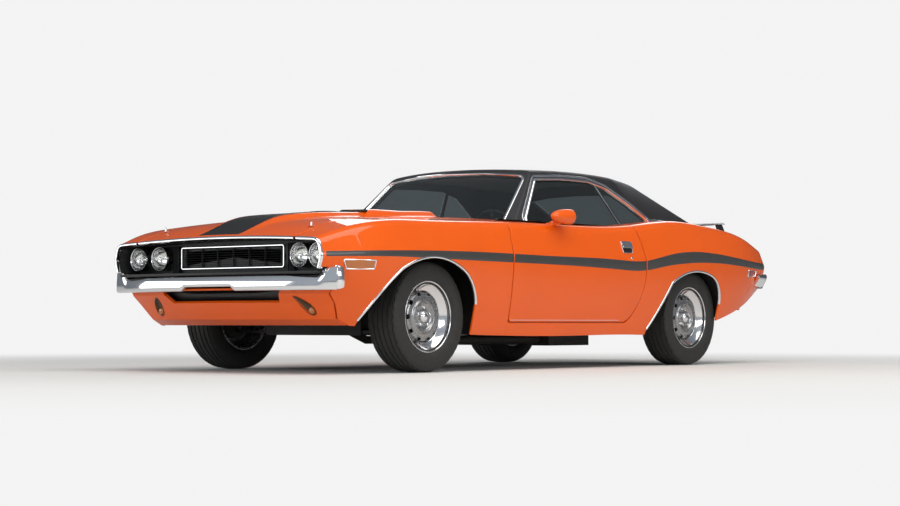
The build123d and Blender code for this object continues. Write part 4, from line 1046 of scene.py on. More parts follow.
CABIN_POINTS = cabin_rows()
CABIN_COLUMNS = CABIN_POINTS.shape[1]
CAB = cabin(CABIN_POINTS, 112, CABIN_COLUMNS)
COARSE_CAB = cabin(CABIN_POINTS, 60, CABIN_COLUMNS // 3)
GLASS_CAB = cabin(CABIN_POINTS, 86, CABIN_COLUMNS // 2)
SIDE_WINDOW = filleted([(0.350, 0.85), (0.345, 0.945), (0.098, 1.208), (-0.150, 1.222), (-0.450, 1.222),
                        (-0.630, 1.186), (-0.810, 1.096), (-1.000, 0.990), (-1.040, 0.85)], 0.03)
SCREEN = filleted([(-0.668, 0.85), (0.668, 0.85), (0.562, 1.232), (0.290, 1.254), (0, 1.260), (-0.290, 1.254),
                   (-0.562, 1.232)], 0.05)
BACKLIGHT = filleted([(-0.535, 0.85), (0.535, 0.85), (0.452, 1.196), (0.240, 1.214), (0, 1.220),
                      (-0.240, 1.214), (-0.452, 1.196)], 0.05)
side_window, screen, backlight = polygon(SIDE_WINDOW), polygon(SCREEN), polygon(BACKLIGHT)


def windows(v, grow=0.0):
    """Signed distance into the nearest window opening."""
    side = np.where(np.abs(v[:, 1]) > 0.42, side_window(v[:, 0], v[:, 2]), -1.0)
    front = np.where(v[:, 0] > 0.05, screen(v[:, 1], v[:, 2]), -1.0)
    back = np.where(v[:, 0] < -0.9, backlight(v[:, 1], v[:, 2]), -1.0)
    return np.maximum(np.maximum(side, front), back) + grow


def over_body(v, gap=0.0):
    """Height over the body's top."""
    y = np.abs(v[:, 1])
    return v[:, 2] - top_z(v[:, 0], y) - gap


roof_raw = cut(CAB, lambda v: over_body(v, 0.0005), lambda v: -windows(v) - R0)
roof = hem(roof_raw, R0, 0.030)
make("roof_skin", *roof, VINYL, "chassis", ["roof"], "vinyl", sharp=50)


def inner_side(sheet, by):
    """A sheet's inner face, moved in by a distance."""
    return turned(offset(sheet, -by))


liner = inner_side(cut(COARSE_CAB, lambda v: over_body(v, -0.03), lambda v: -windows(v) - 0.004), 0.030)
make("headliner", *liner, CARPET, "chassis", slot="interior")


def pane(sheet, thick=0.004, sink=0.005):
    """A solid pane from a sheet."""
    v, faces = sheet
    n = normals(v, faces)
    a, b = v - n * sink, v - n * (sink + thick)
    count = len(v)
    out = list(faces) + [tuple(reversed([i + count for i in f])) for f in faces]
    for loop in rims(faces):
        for p, q in zip(loop, loop[1:] + loop[:1]):
            out.append((q, p, p + count, q + count))
    return np.concatenate([a, b]), out


pair("quarter_liner", inner_side(quarter_raw, 0.010), UNDER, "chassis", slot="structure_paint")
pair("fender_liner", inner_side(fender_raw, 0.010), UNDER, "chassis", slot="structure_paint")


# Inner wheel arch over the rear tyre and the sill under the door
ARCH_R, ARCH_IN_Y, SILL_IN_Y = 0.378, 0.602, 0.728


def wheelhouse():
    """Half a drum over the left rear tyre, closed on its inner side but for the axle's way."""
    turns, rows = np.linspace(0, math.pi, 73), []
    for r in np.linspace(0.004, ARCH_R, 24):
        rows.append(np.stack([REAR_AXLE_X + r * np.cos(turns), np.full(73, ARCH_IN_Y),
                              TYRE_R + r * np.sin(turns)], 1))
    rim = rows[-1]
    outer = side_y(rim[:, 0], rim[:, 2]) - 0.013
    for share in np.linspace(0, 1, 12)[1:]:
        row = rim.copy()
        row[:, 1] = ARCH_IN_Y + (outer - ARCH_IN_Y) * share
        rows.append(row)
    sheet = grid(np.array(rows))
    return clip(sheet, lambda v: np.maximum(np.abs(v[:, 0] - REAR_AXLE_X) - 0.060, v[:, 2] - TYRE_R - 0.110))


def sill():
    """The sill's inner side and its top under the door."""
    xs = np.linspace(DOOR_REAR_X - 0.150, DOOR_FRONT_X + 0.003, 90)
    full = np.ones(len(xs))
    outer = side_y(xs, DOOR_BOTTOM_Z * full) - 0.010
    rows = [np.stack([xs, y * full, z * full], 1) for y, z in ((SILL_IN_Y, 0.226), (SILL_IN_Y, 0.290),
                                                               (SILL_IN_Y + 0.003, 0.295))]
    rows += [np.stack([xs, SILL_IN_Y + 0.010 + (outer - SILL_IN_Y - 0.010) * k, 0.2965 * full], 1)
             for k in np.linspace(0, 1, 6)]
    return grid(np.array(rows))


pair("wheelhouse", pane(wheelhouse(), 0.006, 0.0), UNDER, "chassis", slot="structure_paint", sharp=50)
pair("sill_step", pane(sill(), 0.003, 0.0), PAINT, "chassis", sharp=50)

SPLIT_X = DOOR_REAR_X - 0.030
glass_area = cut(GLASS_CAB, lambda v: over_body(v, -0.02))
front_glass = cut(glass_area, above(0, 0.05), lambda v: screen(v[:, 1], v[:, 2]) + 0.006)
back_glass = cut(glass_area, below(0, -0.9), lambda v: backlight(v[:, 1], v[:, 2]) + 0.006)
left_glass = cut(glass_area, above(1, 0.42), lambda v: side_window(v[:, 0], v[:, 2]) + 0.001)
make("windshield_pane", *pane(front_glass), GLASS, "chassis", ["windshield"], "glass")
make("rear_window_pane", *pane(back_glass), GLASS, "chassis", ["rear_glass"], "glass")


def split(v):
    """Ahead of the line between the two side panes, which leans forward as it rises."""
    return v[:, 0] - SPLIT_X - 0.30 * (v[:, 2] - 0.945)


def pane_foot(v):
    """The door glass dips into the door, and stays just above the quarter panel behind it."""
    return over_body(v, -0.018 + 0.021 * ease((DOOR_REAR_X + 0.012 - v[:, 0]) / 0.01))


door_pane = cut(left_glass, lambda v: split(v) - 0.010, pane_foot,
                lambda v: side_window(v[:, 0], v[:, 2]) - 0.006)
quarter_pane = cut(left_glass, lambda v: -split(v) - 0.010)
divider = cut(CAB, above(1, 0.42), lambda v: 0.0125 - np.abs(split(v)), lambda v: over_body(v, -0.004),
              lambda v: side_window(v[:, 0], v[:, 2]) - 0.001)
pair("pane_divider", hem(offset(divider, -0.002), 0.001, 0.014), TRIM, "chassis", slot="black_trim")
divider_line = cut(divider, lambda v: split(v) + 0.0115 - 0.018)
pair("pane_divider_line", hem(offset(divider_line, -0.001), 0.001, 0.004), CHROME, "chassis", slot="chrome")
pair("door_glass_pane", pane(door_pane), GLASS, "door_left", "door_glass_left", "glass")
pair("quarter_glass_pane", pane(quarter_pane), GLASS, "chassis", slot="glass")


# Bright mouldings round the windows, the drip rail and the roof's foot
def loop_trim(name, raw, pick, prof):
    """Sweeps a profile along the parts of a panel's edge that pick() chooses."""
    v, faces = raw
    n = normals(v, faces)
    sheets = []
    for loop in rims(faces):
        p, m, o = frame_of(v, n, loop)
        ok = pick(p)
        if ok.all():
            sheets.append(sweep(p, o, m, prof, True))
            continue
        if not ok.any():
            continue
        shift = int(np.argmin(ok))
        ok, p, m, o = np.roll(ok, -shift), np.roll(p, -shift, 0), np.roll(m, -shift, 0), np.roll(o, -shift, 0)
        k = 0
        while k < len(ok):
            if ok[k]:
                e = k
                while e < len(ok) and ok[e]:
                    e += 1
                if e - k > 4:
                    sheets.append(sweep(p[k:e], o[k:e], m[k:e], prof))
                k = e
            else:
                k += 1
    make(name, *join(*sheets), CHROME, "chassis", slot="chrome", sharp=50)


FLAT_TRIM = [(0.003, -0.008), (0.003, 0.002), (0.001, 0.0045), (-0.011, 0.0045), (-0.015, 0.001),
             (-0.015, -0.002)]
loop_trim("screen_moulding", roof_raw,
          lambda p: (p[:, 0] > 0.06) & (np.abs(screen(p[:, 1], p[:, 2])) < 0.006), FLAT_TRIM)
loop_trim("rear_window_moulding", roof_raw,
          lambda p: (p[:, 0] < -0.95) & (np.abs(backlight(p[:, 1], p[:, 2])) < 0.006), FLAT_TRIM)
loop_trim("side_window_moulding", roof_raw,
          lambda p: (np.abs(p[:, 1]) > 0.45) & (np.abs(side_window(p[:, 0], p[:, 2])) < 0.006),
          [(0.004, -0.012), (0.004, 0.004), (0.002, 0.007), (-0.012, 0.007), (-0.016, 0.003),
           (-0.016, -0.002)])
drip = cut(CAB, above(1, 0.42), lambda v: side_window(v[:, 0], v[:, 2]) + 0.033,
           lambda v: -side_window(v[:, 0], v[:, 2]) - 0.024, lambda v: over_body(v, 0.004))
pair("drip_rail", hem(offset(drip, 0.005), 0.002, 0.007), CHROME, "chassis", slot="chrome")
loop_trim("roof_foot_moulding", roof_raw,
          lambda p: (over_body(p, 0.0) < 0.004) & (windows(p) < -0.004) & (p[:, 0] < -0.9),
          [(0.001, -0.004), (0.001, 0.004), (-0.002, 0.006), (-0.009, 0.006), (-0.012, 0.003),
           (-0.012, -0.002)])


# Tyres and wheels
def crown(t):
    """The tread's radius at a place across it."""
    return TYRE_R - 0.0045 * (abs(t) / 0.09) ** 2


def tyre_sheet(centre, side):
    """A ring with four grooves and cross cuts in its tread, and a rounded sidewall."""
    tread = []
    ribs = [(-0.084, -0.058), (-0.050, -0.022), (-0.014, 0.014), (0.022, 0.050), (0.058, 0.084)]
    for a, b in ribs:
        tread += [(crown(a) - 0.0075, a - 0.0012, 0), (crown(a) - 0.0008, a, 0), (crown(a), a + 0.0012, 1)]
        tread += [(crown(t), t, 1) for t in np.linspace(a + 0.004, b - 0.004, 4)]
        tread += [(crown(b), b - 0.0012, 1), (crown(b) - 0.0008, b, 0), (crown(b) - 0.0075, b + 0.0012, 0)]
    shoulder = [(0.3195, 0.0915, 1), (0.3150, 0.0985, 1), (0.3070, 0.1040, 0), (0.2960, 0.1085, 0),
                (0.2800, 0.1115, 0), (0.2640, 0.1124, 0), (0.2480, 0.1115, 0), (0.2320, 0.1080, 0),
                (0.2200, 0.1020, 0), (0.2135, 0.0960, 0), (0.2120, 0.0945, 0), (0.2105, 0.0945, 0),
                (0.2085, 0.0930, 0), (0.1990, 0.0900, 0), (0.1925, 0.0870, 0)]
    prof = [(r, -t, c) for r, t, c in reversed(shoulder)] + tread + shoulder
    n = 160
    ang = circle(n)
    rows = []
    for r, t, cutting in prof:
        radius = np.full(n, r)
        if cutting:
            phase = (np.arange(n) + int(round(abs(t) * 260))) % 4
            radius = radius - np.where(phase == 0, 0.0045 if abs(t) > 0.02 else 0.0, 0)
        rows.append(np.stack([radius * np.cos(ang), np.full(n, t * side), radius * np.sin(ang)], 1))
    return turned(grid(np.array(rows) + np.array(centre), wrap=True), side > 0)


SLOT_R = 0.1345


def wheel_sheets(centre, side):
    """The steel wheel: trim ring, slotted disc with a raised ring, cap, nuts, barrel and drum."""
    ring = revolve([(0.196, 0.0875), (0.205, 0.0885), (0.2105, 0.0900), (0.2112, 0.0925), (0.2095, 0.0945),
                    (0.2065, 0.0948), (0.2035, 0.0930), (0.2000, 0.0880), (0.1930, 0.0790), (0.1820, 0.0680),
                    (0.1700, 0.0590), (0.1620, 0.0540), (0.1555, 0.0505), (0.1520, 0.0480), (0.1505, 0.0440),
                    (0.1500, 0.0380)], centre, 160, side=side)
    disc = revolve([(0.158, 0.030), (0.152, 0.0355), (0.1475, 0.0385), (0.1450, 0.0425), (0.1430, 0.0470),
                    (0.1390, 0.0500), (0.1300, 0.0520), (0.1200, 0.0530), (0.1100, 0.0530), (0.1035, 0.0545),
                    (0.0990, 0.0580), (0.0955, 0.0620), (0.0920, 0.0635), (0.0885, 0.0620), (0.0850, 0.0570),
                    (0.0810, 0.0510), (0.0740, 0.0460), (0.0600, 0.0440), (0.0450, 0.0445), (0.0300, 0.0470)],
                   (0, 0, 0), 240)

    def slots(v):
        r, a = np.hypot(v[:, 0], v[:, 2]), np.arctan2(v[:, 2], v[:, 0])
        step = 2 * math.pi / 10
        b = (a + step / 2) % step - step / 2
        return np.maximum(np.abs(r - SLOT_R) - 0.0085, np.abs(b) * SLOT_R - 0.0145) * 0.95

    disc = clip(disc, slots)
    disc = hem(disc, 0.0015, 0.008)
    cap = revolve([(0.0345, 0.045), (0.0345, 0.0600), (0.0335, 0.0640), (0.0300, 0.0680), (0.0270, 0.0695),
                   (0.0255, 0.0690), (0.0240, 0.0705), (0.0160, 0.0745), (0.0080, 0.0765), (0.0000, 0.0770)],
                  (0, 0, 0), 64)
    nuts = []
    for k in range(5):
        a = 2 * math.pi * (k + 0.25) / 5
        hexa = revolve([(0.0112, 0.044), (0.0112, 0.0600), (0.0098, 0.0635), (0.0060, 0.0655), (0.0, 0.0660)],
                       (0, 0, 0), 6)
        nuts.append((hexa[0] + (0.0545 * math.cos(a), 0, 0.0545 * math.sin(a)), hexa[1]))
    valve = tube([(0.150, 0.046, 0.0), (0.150, 0.062, 0.0), (0.149, 0.070, 0.0)], 0.003, 10)
    barrel = revolve([(0.1990, -0.0880), (0.2050, -0.0905), (0.2050, -0.0945), (0.1965, -0.0950),
                      (0.1880, -0.0900), (0.1860, -0.0700), (0.1740, -0.0560), (0.1740, 0.0250),
                      (0.1500, 0.0280), (0.1380, 0.0300), (0.1330, 0.0300)], centre, 120, side=side)
    outer = revolve([(0.1920, 0.0860), (0.1917, -0.0860), (0.1990, -0.0880)], centre, 96, side=side)
    drum = revolve([(0.020, 0.0300), (0.060, 0.0290), (0.120, 0.0240), (0.1330, 0.0180), (0.1350, 0.0000),
                    (0.1350, -0.0200), (0.1320, -0.0270), (0.1250, -0.0275), (0.0200, -0.0275)], centre, 72,
                   side=side)

    def placed(sheet):
        return turned((sheet[0] * (1, side, 1) + centre, sheet[1]), side < 0)
    return ring, placed(disc), placed(cap), placed(join(*nuts)), placed(valve), join(barrel, outer), drum


for end, x, y in (("front", FRONT_AXLE_X, FRONT_Y), ("rear", REAR_AXLE_X, REAR_Y)):
    for side, tag in SIDES:
        centre, body_name = (x, side * y, TYRE_R), f"wheel_{end}_{tag}"
        make(f"tread_tyre_{end}_{tag}", *tyre_sheet(centre, side), RUBBER, body_name, [f"tyre_{end}_{tag}"],
             "tyre", sharp=32)
        ring, disc, cap, nuts, valve, barrel, drum = wheel_sheets(centre, side)
        make(f"trim_ring_{end}_{tag}", *ring, BRIGHT, body_name, slot="chrome", sharp=60)
        make(f"wheel_disc_{end}_{tag}", *disc, SILVER, body_name, [f"wheel_{end}_{tag}"], "wheel", sharp=50)
        make(f"hub_cap_{end}_{tag}", *cap, CHROME, body_name, slot="chrome", sharp=50)
        make(f"lug_nuts_{end}_{tag}", *nuts, CHROME, body_name, slot="chrome", sharp=30)
        make(f"valve_{end}_{tag}", *valve, TRIM, body_name, slot="black_trim")
        make(f"rim_barrel_{end}_{tag}", *barrel, SILVER, body_name, slot="wheel", sharp=50)
        make(f"brake_drum_{end}_{tag}", *drum, CAST, body_name, slot="cast_iron", sharp=40)


# The front: bright surround, tray, louvres, lamps
def nose_line(z_low):
    """The nose section's outline from the bumper up and over to the other side, with its normals."""
    row = HALF[-1]
    left = row[row[:, 1] > z_low]
    whole = np.concatenate([left, (left * (-1, 1))[-2::-1]])
    whole = smooth_path(whole, 0.006, 0)
    t = unit(np.gradient(whole, axis=0))
    out = np.stack([t[:, 1], -t[:, 0]], 1)
    if out[len(out) // 2][1] < 0:
        out = -out
    return whole, out


def surround(name, pick, body_name):
    """A part of the bright moulding round the nose, where pick() chooses."""
    line, out = nose_line(0.585)
    ok = pick(line)
    line, out = line[ok], out[ok]
    zero = np.zeros(len(line))
    p = np.stack([zero + NOSE_X, line[:, 0], line[:, 1]], 1)
    a = np.stack([zero, out[:, 0], out[:, 1]], 1)
    b = np.tile((1.0, 0.0, 0.0), (len(line), 1))
    prof = [(-0.020, -0.030), (-0.019, 0.004), (-0.016, 0.0105), (-0.010, 0.0118), (-0.003, 0.0085),
            (0.0005, 0.002), (0.0005, -0.002), (-0.010, -0.030)]
    make(name, *sweep(p, a, b, prof), CHROME, body_name, slot="chrome", sharp=50)


surround("surround_hood", lambda q: np.abs(q[:, 0]) < HOOD_HALF - 0.004, "hood")
surround("surround_left", lambda q: q[:, 0] > HOOD_HALF + 0.004, "chassis")
surround("surround_right", lambda q: q[:, 0] < -HOOD_HALF - 0.004, "chassis")

GRILLE_X = NOSE_X - 0.170


def tray():
    """The black tray behind the surround, as walls that follow the nose's outline."""
    line, out = nose_line(0.576)
    line = line - out * 0.021
    rows = []
    for x, share in ((NOSE_X - 0.010, 1.0), (NOSE_X - 0.040, 0.995), (GRILLE_X + 0.014, 0.99),
                     (GRILLE_X + 0.008, 0.975), (GRILLE_X + 0.007, 0.5), (GRILLE_X + 0.007, 0.02)):
        mid = np.array([0, 0.67])
        q = mid + (line - mid) * np.array([share, share])
        rows.append(at_x(x, q))
    walls = facing(grid(np.array(rows)), -10, 0, 1)
    shelf = block(GRILLE_X, NOSE_X + 0.008, -0.80, 0.80, 0.563, 0.580, 0.004)
    back = block(GRILLE_X, GRILLE_X + 0.007, -0.80, 0.80, 0.57, 0.745, 0.002)
    return join(walls, shelf, back)


make("grille_tray", *tray(), TRIM, "chassis", ["grille"], "black_trim", sharp=40)
bars = [block(GRILLE_X + 0.010, GRILLE_X + 0.022, -0.412, 0.412, z, z + 0.0022, 0.0008, 1)
        for z in np.arange(0.617, 0.726, 0.0135)]
bars += [block(GRILLE_X + 0.009, GRILLE_X + 0.020, y - 0.0012, y + 0.0012, 0.61, 0.727, 0.0005, 1)
         for y in np.arange(-0.39, 0.40, 0.13)]
for s in (1, -1):
    bars += [block(GRILLE_X + 0.008, GRILLE_X + 0.030, s * y - 0.0015, s * y + 0.0015, 0.585, 0.745,
                   0.0006, 1) for y in (0.450, 0.462, 0.474, 0.486, 0.498)]
make("grille_louvres", *join(*bars), TRIM, "chassis", slot="black_trim")


def rounded_frame(x, y0, y1, z0, z1, radius, way, profile):
    """A profile swept round a rounded outline that faces along the car, forward or back."""
    line = filleted([(y0, z0), (y1, z0), (y1, z1), (y0, z1)], radius)
    p = at_x(x, line)
    t = loop_way(p)
    return sweep(p, np.cross(t, (way, 0, 0)), np.tile((way, 0, 0), (len(p), 1)), profile, True)


grille_ring = rounded_frame(GRILLE_X + 0.030, -0.419, 0.419, 0.609, 0.733, 0.012, 1,
                            [(-0.004, -0.006), (-0.004, 0.001), (-0.002, 0.0035), (0.002, 0.0035),
                             (0.004, 0.001), (0.004, -0.006)])
make("grille_ring", *grille_ring, CHROME, "chassis", slot="chrome")

# Each lamp: across, up, and how far its bezel stands out from the tray's back
LAMPS = [(0.575, 0.672, 0.062), (0.737, 0.670, 0.082)]
LAMP_X = GRILLE_X + 0.008
BEZEL_FACE = [(0.0715, -0.010), (0.0706, -0.003), (0.0688, 0.0), (0.0662, -0.001), (0.0640, -0.005),
              (0.0628, -0.012), (0.0622, -0.022)]
BOWL = [(0.0622, -0.016), (0.0570, -0.031), (0.0450, -0.044), (0.0280, -0.051), (0.0, -0.053)]
DOME = [(0.0, 0.0120), (0.014, 0.0114), (0.028, 0.0095), (0.040, 0.0060), (0.050, 0.0015), (0.058, -0.0035),
        (0.0624, -0.0080), (0.0620, -0.0105), (0.050, -0.0020), (0.030, 0.0055), (0.0, 0.0085)]
CONE = [(0.0, -0.006), (0.008, -0.007), (0.011, -0.010), (0.011, -0.020), (0.006, -0.040), (0.005, -0.052)]
for s, tag in SIDES:
    for k, (y, z, out) in enumerate(LAMPS):
        at, face = (LAMP_X, s * y, z), (LAMP_X + out, s * y, z)
        bezel = join(revolve([(0.0700, 0.0), (0.0715, 0.004), (0.0715, out - 0.0101)], at, 72, axis="x"),
                     revolve(BEZEL_FACE, face, 72, axis="x"))
        make(f"lamp_bezel_{tag}_{k}", *turned(bezel), CHROME, "chassis",
             ["headlamps"] if k == 0 and s == 1 else (), "chrome", sharp=60)
        make(f"lamp_bowl_{tag}_{k}", *join(revolve(BOWL, face, 60, axis="x"),
                                           revolve(CONE, face, 28, axis="x")),
             REFLECTOR, "chassis", slot="chrome", sharp=60)
        make(f"lamp_lens_{tag}_{k}", *revolve(DOME, face, 64, axis="x"), LENS, "chassis", slot="lamp_glass",
             sharp=60)


# Bumpers
def bumper(face_x, radius, stations, prof_of, sign):
    """A bar swept across the car, curved in plan; prof_of gives each station's (out, z) profile."""
    rows = []
    for y in stations:
        drop = radius - math.sqrt(radius ** 2 - y ** 2)
        lean = math.asin(y / radius)
        way = np.array([math.cos(lean) * sign, math.sin(lean), 0.0])
        base = np.array([face_x - sign * drop, y, 0.0])
        rows.append([base + way * o + np.array([0, 0, z]) for o, z in prof_of(y)])
    return turned(capped(rows), sign > 0)


def front_profile(y):
    """The front bumper's section: higher at its ends, notched for the plate in the middle."""
    a = abs(y)
    top = 0.556 + 0.052 * float(ease((a - 0.780) / 0.060))
    low = 0.470 + 0.024 * (1 - float(ease((a - 0.185) / 0.040)))
    d = BUMPER_DEEP
    return [(-d, low + 0.010), (-0.012, low + 0.001), (-0.004, low + 0.004), (-0.0005, low + 0.014),
            (-0.001, (low + top) / 2 - 0.005), (-0.0045, top - 0.018), (-0.010, top - 0.005), (-0.018, top),
            (-d, top - 0.004)]


ys = np.unique(np.concatenate([np.linspace(-0.904, 0.904, 150), np.linspace(0.18, 0.23, 14),
                               -np.linspace(0.18, 0.23, 14), np.linspace(0.79, 0.87, 16),
                               -np.linspace(0.79, 0.87, 16)]))
front_bar = bumper(FRONT_X, BUMPER_RADIUS, ys, front_profile, 1)


def wrapped_end(path, side, way, heights, outs, shoulder, first=None):
    """A bumper's end along a path of (x, y) places round the body's corner."""
    (top_start, top_slope), (low_start, low_slope) = heights
    rows = []
    for k, (x, y) in enumerate(path):
        share, j = k / (len(path) - 1), max(k, 1)
        top, low = top_start + top_slope * share, low_start + low_slope * share
        dx, dy = path[j][0] - path[j - 1][0], path[j][1] - path[j - 1][1]
        nx, ny = first if first and k == 0 else unit(np.array([dy, -dx]) * way)
        levels = (low + 0.006, low, low + 0.012, (top + low) / 2, top - shoulder, top, top - 0.004)
        rows.append([(x + nx * o, side * (y + ny * o), z) for o, z in zip(outs, levels)])
    return turned(capped(rows), side > 0)


FRONT_END = [(2.3035, 0.893), (2.296, 0.904), (2.284, 0.911), (2.268, 0.914), (2.250, 0.912)]
front_ends = [wrapped_end(FRONT_END, s, 1, ((0.607, -0.010), (0.472, 0.012)),
                          (-0.020, -0.006, 0.0, 0.001, -0.002, -0.008, -0.020), 0.012, (0.75, 0.66))
              for s in (1, -1)]
brackets = [block(GRILLE_X + 0.001, FRONT_X - 0.040, *sorted((s * 0.34, s * 0.40)), 0.497, 0.533, 0.004)
            for s in (1, -1)]
make("front_bumper_bar", *join(front_bar, *front_ends), CHROME, "chassis", ["front_bumper"], "chrome",
     sharp=55)
make("front_bumper_brackets", *join(*brackets), UNDER, "chassis", slot="structure_paint")


def rear_profile(_):
    """The rear bumper's section, the same all across."""
    return [(-0.070, 0.548), (-0.060, 0.538), (-0.049, 0.541), (-0.034, 0.560), (-0.014, 0.592),
            (-0.002, 0.620), (0.0, 0.632), (-0.006, 0.644), (-0.028, 0.642)]


rear_bar = bumper(REAR_X, 7.0, np.linspace(-0.868, 0.868, 90), rear_profile, -1)
REAR_END = [(-2.3755, 0.866), (-2.362, 0.882), (-2.340, 0.893), (-2.300, 0.900), (-2.250, 0.912),
            (-2.190, 0.923)]
rear_ends = [wrapped_end(REAR_END, s, -1, ((0.642, -0.006), (0.537, 0.020)),
                         (-0.048, -0.040, -0.032, -0.010, 0.0, -0.007, -0.018), 0.014) for s in (1, -1)]
make("rear_bumper_bar", *join(rear_bar, *rear_ends), CHROME, "chassis", ["rear_bumper"], "chrome", sharp=55)


# Panel under the front bumper, with its air opening and turn lamps: each a tear-shaped recess that
# leans inward at its top, with a round amber lens low in it
OPENING = filleted([(-0.485, 0.476), (0.485, 0.476), (0.434, 0.404), (-0.434, 0.404)], 0.010)
LAMP_Y, LAMP_Z, LAMP_TILT = 0.600, 0.388, math.radians(52)
turns = circle(48)
along, across = np.cos(turns) * 0.062, np.sin(turns) * (0.030 - 0.012 * np.cos(turns))
TEAR = np.stack([-along * math.cos(LAMP_TILT) + across * math.sin(LAMP_TILT),
                 along * math.sin(LAMP_TILT) + across * math.cos(LAMP_TILT)], 1)


def valance():
    """The raked face between the fenders' inner sides."""
    across, zs = np.linspace(-1, 1, 200), np.linspace(0.2755, VALANCE_TOP, 60)
    half = np.full(len(zs), 0.70)
    for _ in range(6):
        half = side_y(low_front_x(half, zs), zs) - SKIN - SEAT_GAP
    u, z = np.meshgrid(across, zs, indexing="ij")
    y = u * half
    x = low_front_x(y, z)
    sheet = grid(np.stack([x, y, z], 2))
    sheet = facing(sheet, len(sheet[0]) // 2, 0, 1)
    hole, tear = polygon(OPENING), polygon(TEAR + np.array([LAMP_Y, LAMP_Z]))
    return cut(sheet, lambda q: -hole(q[:, 1], q[:, 2]) - R0, lambda q: -tear(np.abs(q[:, 1]), q[:, 2]))


make("valance_skin", *hem(valance(), R0, 0.02), PAINT, "chassis", ["front_valance"], "paint", sharp=50)

# Dark duct behind the opening
duct = []
for share, out in ((1.01, -0.003), (1.01, -0.060), (0.55, -0.062), (0.02, -0.063)):
    y, z = (OPENING * share + np.array([0, 0.44]) * (1 - share)).T
    duct.append(np.stack([low_front_x(y, z) + out, y, z], 1))
make("valance_duct", *turned(grid(np.array(duct), wrap=True)), TRIM, "chassis", slot="black_trim", sharp=50)
for s, tag in SIDES:
    rows = []
    for share, out in ((1.03, 0.0006), (1.05, 0.0028), (1.0, 0.0030), (0.96, 0.0), (0.90, -0.012),
                       (0.55, -0.019), (0.02, -0.020)):
        ry, rz = (np.array([LAMP_Y, LAMP_Z]) + TEAR * share).T
        rows.append(np.stack([low_front_x(ry, rz) + out, s * ry, rz], 1))
    make("turn_recess_" + tag, *turned(grid(np.array(rows), wrap=True), s < 0), BRONZE, "chassis",
         slot="steel", sharp=50)
    ly, lz = LAMP_Y + 0.018, LAMP_Z - 0.026
    bulb = revolve([(0.0, 0.010), (0.010, 0.009), (0.017, 0.006), (0.021, 0.001), (0.022, -0.012)],
                   (float(low_front_x(ly, lz)) - 0.008, s * ly, lz), 36, axis="x")
    make("turn_lens_" + tag, *bulb, AMBER, "chassis", slot="lamp_glass", sharp=60)


# The tail: panel, lamps, wing
def tail_sheet():
    """The tail panel inside the body's last section."""
    row = HALF[0]
    keep = row[(row[:, 1] > 0.53)]
    whole = np.concatenate([keep, (keep * (-1, 1))[-2::-1]])
    mid = np.array([0, 0.70])
    rows = []
    for x, share in ((TAIL_X + 0.010, 0.990), (TAIL_X + 0.002, 0.984), (TAIL_X, 0.97), (TAIL_X, 0.5),
                     (TAIL_X, 0.02)):
        q = mid + (whole - mid) * share
        rows.append(at_x(x, q))
    return facing(grid(np.array(rows)), -10, 0, -1)


make("tail_skin", *tail_sheet(), PAINT, "chassis", ["tail_panel"], "paint")
low_wall = bumper(TAIL_X - 0.006, 3.6, np.linspace(-0.70, 0.70, 60),
                  lambda _: [(-0.030, 0.385), (-0.010, 0.382), (0.0, 0.395), (0.0, 0.47), (-0.002, 0.535),
                             (-0.03, 0.54)], -1)
make("tail_valance", *low_wall, PAINT, "chassis", slot="paint")
for s, tag in SIDES:
    y0, y1 = sorted((s * 0.115, s * 0.730))
    make("tail_lens_" + tag, *block(TAIL_X - 0.018, TAIL_X - 0.001, y0, y1, 0.700, 0.790, 0.010, 4), RED,
         "chassis", ["tail_lamps"] if s == 1 else (), "red_lens")
    bezel = rounded_frame(TAIL_X - 0.004, y0 - 0.004, y1 + 0.004, 0.696, 0.794, 0.014, -1,
                          [(-0.005, -0.004), (-0.005, 0.010), (0.0, 0.013), (0.005, 0.010), (0.005, -0.004)])
    make("tail_bezel_" + tag, *bezel, CHROME, "chassis", slot="chrome")
make("tail_black_band", *block(TAIL_X - 0.003, TAIL_X + 0.002, -0.78, 0.78, 0.672, 0.826, 0.002), BLACK,
     "chassis", slot="black_trim")


def wing():
    """The rear wing: a foil with rounded ends on two feet."""
    x, z, half = TAIL_X + 0.215, 1.006, DECK_HALF
    foil = [(0.082, -0.006), (0.080, 0.000), (0.060, 0.005), (0.000, 0.0105), (-0.050, 0.0150),
            (-0.075, 0.0160), (-0.088, 0.0130), (-0.090, 0.0095), (-0.080, 0.0060), (-0.040, 0.0030),
            (0.020, -0.0030), (0.070, -0.0085)]
    rows = []
    for y in np.linspace(-half, half, 40):
        e = max(0.0, (abs(y) - (half - 0.03)) / 0.03)
        sc = math.sqrt(max(0.0, 1 - e * e)) * 0.98 + 0.02
        rows.append([(x + a * (0.6 + 0.4 * sc), y, z + b * sc) for a, b in foil])
    out = [capped(rows)]
    for s in (1, -1):
        y, rows = half - 0.034, []
        for share in np.linspace(0, 1, 8):
            mid, reach = x - 0.092 + 0.076 * share, 0.064 - 0.018 * share
            level = circle(32)
            ex = mid + np.cos(level) * reach
            ey = y + np.sin(level) * 0.0115
            foot = top_z(ex, ey) - 0.004
            rows.append(np.stack([ex, s * ey, foot + (z + 0.003 - foot) * share], 1))
        out.append(grid(np.array(rows), wrap=True))
    return join(*out)


make("wing_bar", *wing(), BLACK, "decklid", ["rear_wing"], "black_trim", sharp=50)


